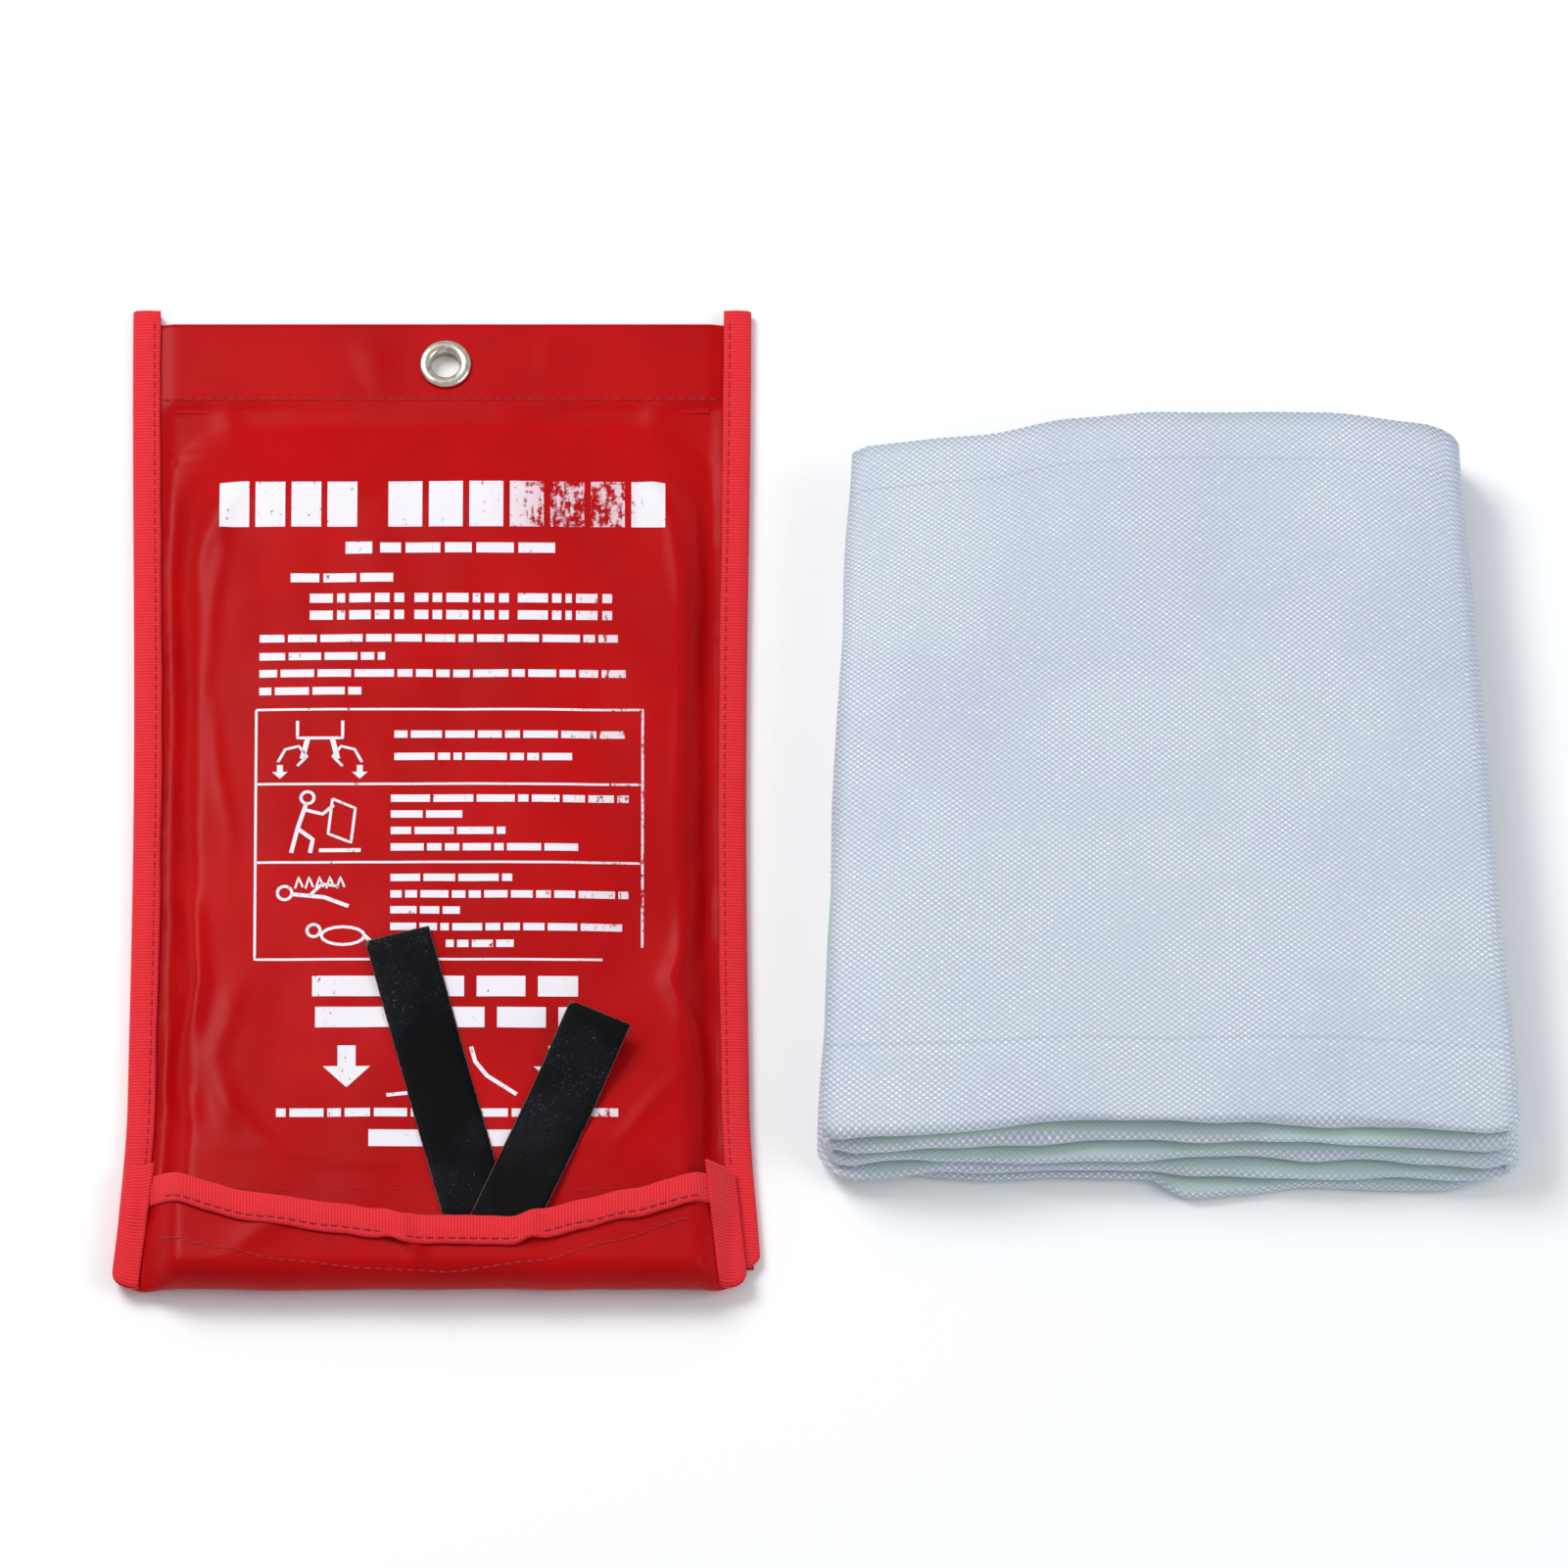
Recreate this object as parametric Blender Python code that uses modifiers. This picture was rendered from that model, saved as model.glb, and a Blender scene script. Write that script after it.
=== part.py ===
"""Fire blanket: a soft vinyl pouch lying on its back, and beside it the blanket as it is unpacked.

Metres, +Z up. The origin is at the middle of the floor under both pieces, +X runs from the pouch to
the loose blanket, and +Y from the pouch's mouth to its eyelet. Soft pieces are plain shells.
"""
import math

import bmesh
import bpy
from mathutils import Vector

# Driving dimensions -----------------------------------------------------------------------------
GAP = 0.0003                 # between pieces that touch
POUCH_LENGTH = 0.310         # bottom fold to the ends of the side bindings
HALF_WIDTH = 0.0897          # pouch centre to the outer edge of a side binding
WAIST = 0.0014               # how far the side edges draw in at half height
FLARE = 0.0030               # how far they spread at the bottom
FLARE_LENGTH = 0.060         # length of that spread
VINYL = 0.0005               # coated fabric
BINDING = 0.0008             # grosgrain tape
BINDING_WIDTH = 0.0080       # of a side binding, folded
BINDING_OVERHANG = 0.0042    # side bindings stand past the header's top edge
HEADER_DEPTH = 0.0240        # top edge to the header's stitch line
HEADER_CLEAR = 0.0070        # header stitch line to where the panel starts to rise
DOME_RAMP = 0.0160           # length of that rise
SHOULDER = 0.0090            # width of the rise along each side
MOUTH_GAP = 0.0085           # bottom fold to the front panel's mouth edge
FOLD_REACH = 0.0070          # how far the bottom fold stands out

PACK_WIDTH = 0.1360          # the blanket inside
PACK_LENGTH = 0.2000
PACK_LAYERS = 4
PACK_LAYER = 0.00195
PACK_FROM_FOLD = 0.0500      # bottom fold to the packed blanket

EYELET_X = 0.0010
EYELET_FROM_TOP = 0.0130     # header's top edge to the eyelet's centre
EYELET_HOLE = 0.00425
EYELET_RIM = 0.0075
EYELET_WALL = 0.0007

TAPE = 0.0005                # webbing thickness
TAPE_WIDTH = 0.0190
TAPE_X = 0.0145              # from the pouch's centre to where both tapes round the mouth's edge
TAPE_INSIDE = 0.0500         # length of tape inside the mouth
LEFT_TAPE_SLOPE = -0.266     # sideways per length
RIGHT_TAPE_SLOPE = 0.438
LEFT_TAPE_END = 0.1080       # bottom fold to the tape's end
RIGHT_TAPE_END = 0.0815
TAPE_SWING_FROM_FOLD = 0.0500

LIP_FROM_FOLD = 0.0185       # bottom fold to the flap's lip, at the lip's lowest point
LIP_RISE = 0.0195            # how much further the lip reaches at its ends
LIP_X = 0.0040
LIP_BINDING_WIDTH = 0.0090
FLAP_INSET = 0.0047          # the flap's right end falls this far short of the pouch's side
FLAP_SPREAD = 0.0033         # each end slants out by this much towards the fold
FLAP_BINDING_WIDTH = 0.0076
FLAP_EASE = 0.0012           # the flap falls to the side bindings this much later than the panel

PATCH_DEPTH = 0.0090
PATCH = 0.0005               # pile or hook tape
PATCHES = {"left": (-0.062, -0.010), "right": (0.038, 0.062)}

THREAD = 0.00018             # radius
STITCH_IN = 0.0016           # binding's inner edge to its stitch line

SPACING = 0.0159             # pouch to loose blanket
STRIP_NEAR = 0.1009          # half width of the loose blanket, near and far
STRIP_FAR = 0.0885
STRIP_DRIFT = -0.0031        # the far edge's centre lies this much to the left
STRIP_LENGTH = 0.2290
STRIP_FAR_Y = 0.1125
STRIP_STAGGER = 0.0120       # lower strips reach further forward
STRIP = 0.0052               # thickness of a folded strip
STRIP_GAP = 0.0007
LOWER_STRIPS = 4

COLUMNS = 28                 # across a panel
FLAP_COLUMNS = 44            # across the flap
EDGE_COLUMNS = 0.70          # share of them along its sides
ROWS = 18                    # along a panel
TOP_ROWS = 0.55              # share of them in the header

# Levels of the layers, from the floor up ----------------------------------------------------------
BINDING_LEVEL = 0.0012       # inner face of a side binding's lower leg
EDGE_BACK = BINDING_LEVEL + GAP
EDGE_FRONT = EDGE_BACK + VINYL + GAP
HEADER_FRONT = EDGE_FRONT + VINYL + GAP
BINDING_TOP = EDGE_FRONT + VINYL + GAP + BINDING
PACK_BOTTOM = VINYL + GAP
PACK_TOP = PACK_BOTTOM + PACK_LAYERS * PACK_LAYER + (PACK_LAYERS - 1) * GAP
RIGHT_INNER = PACK_TOP + GAP
LEFT_INNER = RIGHT_INNER + TAPE + GAP
TACK_LEVEL = LEFT_INNER + TAPE + 0.5 * GAP + THREAD
DOME_FRONT = TACK_LEVEL + THREAD + 0.5 * GAP
FRONT_TOP = DOME_FRONT + VINYL
LEFT_OUTER = FRONT_TOP + GAP
RIGHT_OUTER = LEFT_OUTER + TAPE + GAP
FLAP_LEVEL = RIGHT_OUTER + TAPE + GAP + BINDING + GAP
FLAP_EDGE = BINDING_TOP + GAP + BINDING + GAP
LIP_TOP = FLAP_LEVEL + VINYL + GAP + BINDING
HINGE_Z = 0.5 * LIP_TOP + 0.5 * GAP

# Places -------------------------------------------------------------------------------------------
FLAP_LEFT = HALF_WIDTH       # pouch centre to the flap's ends, at the lip
FLAP_RIGHT = HALF_WIDTH - FLAP_INSET
LEFT_REACH = FLAP_LEFT + FLAP_SPREAD
RIGHT_REACH = HALF_WIDTH + FLARE
SPAN = LEFT_REACH + RIGHT_REACH + SPACING + 2 * STRIP_NEAR
POUCH_X = LEFT_REACH - 0.5 * SPAN
STRIPS_X = 0.5 * SPAN - STRIP_NEAR
TOP_Y = 0.5 * POUCH_LENGTH
FOLD_EDGE = -TOP_Y
HEADER_TOP = TOP_Y - BINDING_OVERHANG
HEADER_SEAM = HEADER_TOP - HEADER_DEPTH
FOLD_Y = FOLD_EDGE + FOLD_REACH
MOUTH_Y = FOLD_EDGE + MOUTH_GAP
DOME_END = HEADER_SEAM - HEADER_CLEAR
DOME_START = DOME_END - DOME_RAMP
PACK_Y = FOLD_EDGE + PACK_FROM_FOLD
SWING_Y = FOLD_EDGE + TAPE_SWING_FROM_FOLD
EYELET_Y = HEADER_TOP - EYELET_FROM_TOP
STRIP_STEP = STRIP + STRIP_GAP
STRIPS_TOP = LOWER_STRIPS * STRIP_STEP - STRIP_GAP
SPINE_Z = STRIPS_TOP + 0.5 * STRIP_GAP
SPINE_RADIUS = 0.5 * STRIP_STEP


# Scene ----------------------------------------------------------------------------------------------
for old in list(bpy.data.objects):
    bpy.data.objects.remove(old, do_unlink=True)
parts = bpy.data.collections.new("fire_blanket")
cutters = bpy.data.collections.new("cutters")
for group in (parts, cutters):
    bpy.context.scene.collection.children.link(group)


def finish(name, colour, roughness, metallic=0.0):
    """A plain Principled material."""
    made = bpy.data.materials.new(name)
    made.use_nodes = True
    shader = made.node_tree.nodes["Principled BSDF"]
    shader.inputs["Base Color"].default_value = (*colour, 1.0)
    shader.inputs["Roughness"].default_value = roughness
    shader.inputs["Metallic"].default_value = metallic
    return made


RED_VINYL = (0.50, 0.007, 0.010)
RED_TAPE = (0.75, 0.020, 0.035)
RED_THREAD = (0.45, 0.010, 0.015)
BLACK_TAPE = (0.004, 0.004, 0.005)
NICKEL = (0.62, 0.56, 0.47)
GLASS_FABRIC = (0.58, 0.66, 0.74)


def empty_at(name, place):
    """An empty that stands on a joint and carries the pieces that move with it."""
    pivot = bpy.data.objects.new(name, None)
    pivot.location = place
    pivot.empty_display_size = 0.02
    parts.objects.link(pivot)
    return pivot


def own(name, data, look, pivot=None, group=parts):
    """Link an object whose data is in world places, and hang it on its pivot."""
    piece = bpy.data.objects.new(name, data)
    if look:
        data.materials.append(look)
    if pivot:
        piece.parent = pivot
    group.objects.link(piece)
    return piece


# Curves of the pouch --------------------------------------------------------------------------------
def smooth(share):
    """Smooth step from 0 to 1."""
    share = min(max(share, 0.0), 1.0)
    return share * share * (3.0 - 2.0 * share)


def half_width(y):
    """Pouch centre to the outer side edge, at a height along the pouch."""
    draw_in = math.cos(0.5 * math.pi * min(abs(y) / TOP_Y, 1.0)) ** 2
    spread = smooth(1.0 - (y - FOLD_EDGE) / FLARE_LENGTH)
    return HALF_WIDTH - WAIST * draw_in + FLARE * spread


def shoulder(u, y, ease=0.0):
    """1 over the packed blanket, 0 under the side bindings."""
    inner = half_width(y) - BINDING_WIDTH - GAP + ease
    return smooth((inner - abs(u)) / SHOULDER)


def along(y):
    """1 over the packed blanket, 0 in the header."""
    return smooth((DOME_END - y) / DOME_RAMP)


def back_level(u, y):
    """Underside of the back panel: a flat pan with raised edges."""
    return EDGE_BACK * (1.0 - shoulder(u, y) * along(y))


def front_level(u, y):
    """Underside of the front panel."""
    dome = (DOME_FRONT - EDGE_FRONT) * shoulder(u, y) * along(y)
    lined = smooth((FACING_HALF + 4 * GAP - abs(u)) / (3 * GAP)) * smooth((y - DOME_START) / DOME_RAMP)
    return EDGE_FRONT + max(dome, (HEADER_FRONT - EDGE_FRONT) * lined)


FACING_HALF = HALF_WIDTH - WAIST - BINDING_WIDTH - 0.0030


def flap_level(u):
    """Underside of the flap."""
    return FLAP_EDGE + (FLAP_LEVEL - FLAP_EDGE) * shoulder(u, FOLD_Y, FLAP_EASE)


def steepness(level, u):
    """Vertical thickness per thickness square to a surface."""
    step = 0.0002
    rise = (level(u + step) - level(u - step)) / (2 * step)
    return math.sqrt(1.0 + rise * rise)


def flap_end(y, side):
    """Signed place of the flap's end."""
    reach = FLAP_LEFT if side < 0 else FLAP_RIGHT
    lip_end = FOLD_EDGE + LIP_FROM_FOLD + LIP_RISE
    return side * (reach + FLAP_SPREAD * (lip_end - y) / (lip_end - FOLD_Y))


def lip_y(u):
    """The flap's lip sags towards the fold in the middle."""
    return FOLD_EDGE + LIP_FROM_FOLD + LIP_RISE * ((u - LIP_X) / HALF_WIDTH) ** 2


def column(share, y, left, right):
    """Place across a panel from its left end to its right end, with most columns along the sides."""
    centre = 2.0 * share - 1.0
    reach = right if centre > 0 else -left
    flat = half_width(y) - BINDING_WIDTH - SHOULDER - GAP
    if abs(centre) < 1.0 - EDGE_COLUMNS:
        return centre / (1.0 - EDGE_COLUMNS) * flat
    edge = (abs(centre) - 1.0 + EDGE_COLUMNS) / EDGE_COLUMNS
    return math.copysign(flat + edge * (reach - flat), centre)


def row(share):
    """Height along the pouch, with most rows where the panel rises to the header."""
    if share < 1.0 - TOP_ROWS:
        return MOUTH_Y + share / (1.0 - TOP_ROWS) * (DOME_START - MOUTH_Y)
    return DOME_START + (share - 1.0 + TOP_ROWS) / TOP_ROWS * (HEADER_TOP - DOME_START)


# Makers ---------------------------------------------------------------------------------------------
def sheet(name, across, up, place, thick, side, look, pivot=None):
    """A grid laid by a function of two shares, then thickened on one side of it."""
    shape = bmesh.new()
    bmesh.ops.create_grid(shape, x_segments=across, y_segments=up, size=0.5)
    origin = pivot.location if pivot else Vector()
    for vert in shape.verts:
        vert.co = Vector(place(vert.co.x + 0.5, vert.co.y + 0.5)) - origin
    data = bpy.data.meshes.new(name)
    shape.to_mesh(data)
    shape.free()
    piece = own(name, data, look, pivot)
    wall = piece.modifiers.new("wall", "SOLIDIFY")
    wall.thickness = thick
    wall.offset = side
    wall.use_even_offset = True
    return piece


def thread(name, points, look, pivot=None, radius=THREAD):
    """A seam's thread as one thin closed tube."""
    origin = pivot.location if pivot else Vector()
    line = bpy.data.curves.new(name, "CURVE")
    line.dimensions = "3D"
    line.bevel_depth = radius
    line.bevel_resolution = 1
    line.use_fill_caps = True
    spline = line.splines.new("POLY")
    spline.points.add(len(points) - 1)
    for spot, place in zip(spline.points, points):
        spot.co = (*(Vector(place) - origin), 1.0)
    return own(name, line, look, pivot)


def section(share, edge, inward, width, level, half_gap):
    """A binding's inner face: lower leg, round edge, upper leg. inward is -1 or 1 along the axis."""
    centre = edge + inward * (half_gap + BINDING)
    leg = width - half_gap - BINDING
    if share < 0.35:
        at = centre + inward * leg * (1.0 - share / 0.35)
        return at, level(at)[0]
    if share > 0.65:
        at = centre + inward * leg * (share - 0.65) / 0.35
        return at, level(at)[1]
    turn = math.pi * ((share - 0.35) / 0.30 - 0.5)
    low, high = level(centre)
    middle = 0.5 * (low + high)
    return centre - inward * half_gap * math.cos(turn), middle + 0.5 * (high - low) * math.sin(turn)


def punch(piece, radius):
    """Cut the eyelet's hole through a panel."""
    shape = bmesh.new()
    bmesh.ops.create_cone(shape, cap_ends=True, segments=24, radius1=radius, radius2=radius, depth=0.02)
    data = bpy.data.meshes.new("eyelet_hole")
    shape.to_mesh(data)
    shape.free()
    cutter = own("cut_" + piece.name, data, None, None, cutters)
    cutter.location = (POUCH_X + EYELET_X, EYELET_Y, 0.0)
    cutter.hide_render = True
    cutter.display_type = "WIRE"
    cut = piece.modifiers.new("eyelet_hole", "BOOLEAN")
    cut.operation = "DIFFERENCE"
    cut.solver = "EXACT"
    cut.object = cutter


def turned(name, profile, look):
    """A closed profile of (radius, height) turned about the eyelet's axis."""
    data = bpy.data.meshes.new(name)
    count = len(profile)
    data.from_pydata([(r, 0.0, z) for r, z in profile], [(i, (i + 1) % count) for i in range(count)], [])
    piece = own(name, data, look)
    piece.location = (POUCH_X + EYELET_X, EYELET_Y, 0.0)
    spin = piece.modifiers.new("turn", "SCREW")
    spin.steps = 32
    spin.render_steps = 32
    spin.use_merge_vertices = True
    spin.merge_threshold = 0.00001
    return piece


# Back and front panels ------------------------------------------------------------------------------
vinyl = finish("red_vinyl", RED_VINYL, 0.38)
grosgrain = finish("red_grosgrain", RED_TAPE, 0.75)
red_thread = finish("red_thread", RED_THREAD, 0.70)
PANEL_EDGE = BINDING + 4 * GAP        # panels end this far inside the bindings' outer edges


def panel_point(level, share_x, share_y):
    """A point of a panel that lies between the side bindings."""
    y = row(share_y)
    reach = half_width(y) - PANEL_EDGE
    u = column(share_x, y, -reach, reach)
    return POUCH_X + u, y, level(u, y)


back = sheet("back_panel", COLUMNS, ROWS, lambda s, t: panel_point(back_level, s, t), VINYL, 1, vinyl)
front = sheet("front_panel", COLUMNS, ROWS, lambda s, t: panel_point(front_level, s, t), VINYL, 1, vinyl)
BARREL = EYELET_HOLE + EYELET_WALL
for panel in (back, front):
    punch(panel, BARREL + GAP)


# Header facing --------------------------------------------------------------------------------------
FACING_LOW = HEADER_SEAM - 0.0040


def facing_point(share_x, share_y):
    y = FACING_LOW + share_y * (HEADER_TOP - 2 * GAP - FACING_LOW)
    return POUCH_X + (2.0 * share_x - 1.0) * FACING_HALF, y, EDGE_FRONT


punch(sheet("header_facing", 4, 2, facing_point, VINYL, 1, vinyl), BARREL + GAP)


# Side bindings --------------------------------------------------------------------------------------
BINDING_LOW = MOUTH_Y
SIDE_HALF_GAP = 0.5 * (BINDING_TOP - BINDING - BINDING_LEVEL)


def side_point(side, share_x, share_y):
    y = BINDING_LOW + share_y * (TOP_Y - BINDING_LOW)
    legs = (BINDING_LEVEL, BINDING_TOP - BINDING)
    u, z = section(share_x, side * half_width(y), -side, BINDING_WIDTH, lambda at: legs, SIDE_HALF_GAP)
    return POUCH_X + u, y, z


for label, side in (("left", -1), ("right", 1)):
    sheet(f"{label}_side_binding", 10, 14, lambda s, t, side=side: side_point(side, s, t),
          BINDING, -side, grosgrain)


# Eyelet and its washer ------------------------------------------------------------------------------
RIM_UNDER = HEADER_FRONT + VINYL + GAP
RIM_THICK = 0.0008
WASHER = 0.0004
WASHER_Z = EDGE_BACK - GAP - WASHER
CURL = WASHER_Z - GAP
nickel = finish("nickel", NICKEL, 0.28, 1.0)


def rim_profile():
    """Rolled rim over the header, barrel through it and curl under the washer."""
    crown = [0.5 * math.pi * step / 4 for step in range(5)]
    middle = 0.5 * (EYELET_RIM + EYELET_HOLE)
    width = 0.5 * (EYELET_RIM - EYELET_HOLE)
    roll = [(middle + width * math.cos(a), RIM_UNDER + 0.3 * RIM_THICK + RIM_THICK * math.sin(a))
            for a in [math.pi - 2.0 * c for c in crown]]
    outside = [(EYELET_RIM - 0.0003, RIM_UNDER), (BARREL, RIM_UNDER), (BARREL, CURL),
               (BARREL + 0.0012, CURL), (BARREL + 0.0015, 0.0004 * CURL / 0.0005),
               (BARREL + 0.0011, 0.00005), (EYELET_HOLE + 0.0003, 0.00005), (EYELET_HOLE, CURL)]
    return roll + outside


turned("eyelet", rim_profile(), nickel)
turned("eyelet_washer", [(EYELET_RIM, WASHER_Z + WASHER), (EYELET_RIM, WASHER_Z),
                         (BARREL + GAP, WASHER_Z), (BARREL + GAP, WASHER_Z + WASHER)], nickel)


# Seams of the pouch ---------------------------------------------------------------------------------
def over_front(u, y):
    lift = VINYL * steepness(lambda at: front_level(at, y), u) + 0.5 * GAP + THREAD
    return POUCH_X + u, y, front_level(u, y) + lift


SEAM_CLEAR = 0.0020
seam_half = FACING_HALF - 0.0010
thread("header_thread", [over_front(seam_half * (s / 8 - 1.0), HEADER_SEAM) for s in range(17)], red_thread)
HEM_SEAM = MOUTH_Y + 0.0210
hem_half = HALF_WIDTH - BINDING_WIDTH - SHOULDER - 0.0020
thread("front_hem_thread", [over_front(hem_half * (s / 8 - 1.0), HEM_SEAM) for s in range(17)
                            if hem_half * (s / 8 - 1.0) < TAPE_X - TAPE_WIDTH], red_thread)
for label, side in (("left", -1), ("right", 1)):
    low = FOLD_EDGE + LIP_FROM_FOLD + LIP_RISE + SEAM_CLEAR
    run = [low + step / 14 * (TOP_Y - SEAM_CLEAR - low) for step in range(15)]
    thread(f"{label}_binding_thread",
           [(POUCH_X + side * (half_width(y) - BINDING_WIDTH + STITCH_IN), y,
             BINDING_TOP + 0.5 * GAP + THREAD) for y in run], red_thread)


# Hook-and-loop patches: pile on the pouch, hooks on the flap -------------------------------------------
pile = finish("red_pile", RED_THREAD, 0.95)
hinge = empty_at("flap_hinge", (POUCH_X, FOLD_Y, HINGE_Z))
HOOK_LEVEL = FLAP_LEVEL - GAP - BINDING - GAP
for label, (low, high) in PATCHES.items():
    for half, level, grow, pivot in (("loop", FRONT_TOP + GAP, 1, None), ("hook", HOOK_LEVEL, -1, hinge)):
        sheet(f"{label}_{half}_patch", 2, 1,
              lambda s, t, low=low, high=high, level=level:
              (POUCH_X + low + s * (high - low), MOUTH_Y + GAP + t * PATCH_DEPTH, level),
              PATCH, grow, pile, pivot)


# Bottom fold and flap ---------------------------------------------------------------------------------
def fold_point(share_x, share_y):
    """Half round from the back panel's underside to the flap's top."""
    turn = math.pi * (share_y - 0.5)
    u = column(share_x, FOLD_Y, flap_end(FOLD_Y, -1), flap_end(FOLD_Y, 1))
    low, high = back_level(u, FOLD_Y) + 0.5 * VINYL, flap_level(u) + 0.5 * VINYL
    middle, half = 0.5 * (low + high), 0.5 * (high - low)
    y = FOLD_Y - 2 * GAP - (FOLD_REACH - 2 * GAP - 0.5 * VINYL) * math.cos(turn)
    return POUCH_X + u, y, middle + half * math.sin(turn)


sheet("bottom_fold", FLAP_COLUMNS, 8, fold_point, VINYL, 0, vinyl)
LIP_INSET = BINDING + 4 * GAP


def flap_point(share_x, share_y):
    top = lip_y(column(share_x, FOLD_Y, flap_end(FOLD_Y, -1), flap_end(FOLD_Y, 1))) - LIP_INSET
    y = FOLD_Y + share_y * (top - FOLD_Y)
    u = column(share_x, FOLD_Y, flap_end(y, -1) + LIP_INSET, flap_end(y, 1) - LIP_INSET)
    return POUCH_X + u, y, flap_level(u)


sheet("flap_panel", FLAP_COLUMNS, 4, flap_point, VINYL, 1, vinyl, hinge)
FLAP_HALF_GAP = 0.5 * VINYL + GAP


def flap_legs(u):
    """Inner faces of a binding's two legs about the flap."""
    stretch = steepness(flap_level, u)
    low = flap_level(u) - GAP * stretch
    return low, flap_level(u) + (VINYL + GAP) * stretch


def lip_point(share_x, share_y):
    """The lip's binding between the two end bindings."""
    lip_end = FOLD_EDGE + LIP_FROM_FOLD + LIP_RISE
    inset = FLAP_BINDING_WIDTH + 2 * GAP
    u = column(share_x, FOLD_Y, flap_end(lip_end, -1) + inset, flap_end(lip_end, 1) - inset)
    y, z = section(share_y, lip_y(u), -1, LIP_BINDING_WIDTH, lambda at: flap_legs(u), FLAP_HALF_GAP)
    return POUCH_X + u, y, z


sheet("lip_binding", FLAP_COLUMNS, 8, lip_point, BINDING, -1, grosgrain, hinge)


def end_point(side, share_x, share_y):
    top = lip_y(flap_end(FOLD_Y + LIP_FROM_FOLD, side))
    y = FOLD_Y + share_y * (top - FOLD_Y)
    u, z = section(share_x, flap_end(y, side), -side, FLAP_BINDING_WIDTH, flap_legs, FLAP_HALF_GAP)
    return POUCH_X + u, y, z


for label, side in (("left", -1), ("right", 1)):
    sheet(f"flap_{label}_binding", 12, 6, lambda s, t, side=side: end_point(side, s, t),
          BINDING, -side, grosgrain, hinge)


def over_flap(u, y, above):
    stretch = steepness(flap_level, u)
    return POUCH_X + u, y, flap_level(u) + (VINYL + above + GAP + THREAD) * stretch


seam_inset = FLAP_BINDING_WIDTH + SEAM_CLEAR
lip_seam = [column(step / FLAP_COLUMNS, FOLD_Y, seam_inset - FLAP_LEFT, FLAP_RIGHT - seam_inset)
            for step in range(FLAP_COLUMNS + 1)]
LIP_STITCH = LIP_BINDING_WIDTH - STITCH_IN
thread("lip_thread", [over_flap(u, lip_y(u) - LIP_STITCH, GAP + BINDING) for u in lip_seam],
       red_thread, hinge)
flap_seam = [-hem_half + step / 16 * 2 * hem_half for step in range(17)]
thread("flap_thread", [over_flap(u, FOLD_Y + 0.0012, 0.0) for u in flap_seam], red_thread, hinge)


# Packed blanket ---------------------------------------------------------------------------------------
glass_fabric = finish("glass_fabric", GLASS_FABRIC, 0.60)
draw = empty_at("blanket_draw", (POUCH_X, PACK_Y, PACK_BOTTOM))


def serpentine(share, layers, layer, gap, first_side):
    """Side place (-1 to 1), extra reach past it and height, along a strip folded to and fro."""
    bend = 0.08
    run = (1.0 - (layers - 1) * bend) / layers
    index = min(int(share / (run + bend)), layers - 1)
    inside = share - index * (run + bend)
    side = first_side if index % 2 == 0 else -first_side
    height = 0.5 * layer + index * (layer + gap)
    if inside <= run:
        return side * (1.0 - 2.0 * inside / run), 0.0, height
    turn = math.pi * ((inside - run) / bend - 0.5)
    radius = 0.5 * (layer + gap)
    return -side, radius * math.cos(turn), height + radius + radius * math.sin(turn)


def folds(layers, bend_steps=5):
    """Shares along a serpentine: the ends of each run and a few steps round each bend."""
    bend = 0.08
    run = (1.0 - (layers - 1) * bend) / layers
    shares = []
    for index in range(layers):
        start = index * (run + bend)
        shares += [start, start + 0.5 * run, start + run]
        if index < layers - 1:
            shares += [start + run + bend * step / (bend_steps + 1) for step in range(1, bend_steps + 1)]
    return shares


PACK_SHARES = folds(PACK_LAYERS)


def pack_point(share_x, share_y):
    share = PACK_SHARES[round(share_x * (len(PACK_SHARES) - 1))]
    side, reach, height = serpentine(share, PACK_LAYERS, PACK_LAYER, GAP, 1)
    half = 0.5 * (PACK_WIDTH - PACK_LAYERS * GAP) - PACK_LAYER
    u = side * half + math.copysign(reach, side)
    return POUCH_X + u, PACK_Y + share_y * PACK_LENGTH, PACK_BOTTOM + height


sheet("packed_blanket", len(PACK_SHARES) - 1, 2, pack_point, PACK_LAYER, 0, glass_fabric, draw)


# Pull tapes -------------------------------------------------------------------------------------------
webbing = finish("black_webbing", BLACK_TAPE, 0.65)
tack_thread = finish("tack_thread", BLACK_TAPE, 0.80)
INNER_END = MOUTH_Y + TAPE_INSIDE


def tape_route(inner, outer, slope):
    """Middle line of a tape from inside the mouth round its edge and up to the swing line."""
    low, high = inner + 0.5 * TAPE, outer + 0.5 * TAPE
    radius = 0.5 * (high - low)
    turn_y = MOUTH_Y - GAP
    route = [(TAPE_X, INNER_END + (turn_y - INNER_END) * step / 3, low) for step in range(3)]
    for step in range(9):
        turn = math.pi * step / 8
        route.append((TAPE_X, turn_y - radius * math.sin(turn), 0.5 * (low + high) - radius * math.cos(turn)))
    for step in range(1, 9):
        y = turn_y + (SWING_Y - GAP - turn_y) * step / 8
        route.append((TAPE_X + slope * (y - turn_y), y, high))
    return route


def ribbon(name, route, look, pivot=None):
    """A flat tape laid along a route of (side, y, z)."""
    def place(share_x, share_y):
        u, y, z = route[round(share_y * (len(route) - 1))]
        return POUCH_X + u + (share_x - 0.5) * TAPE_WIDTH, y, z
    return sheet(name, 1, len(route) - 1, place, TAPE, 0, look, pivot)


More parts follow.
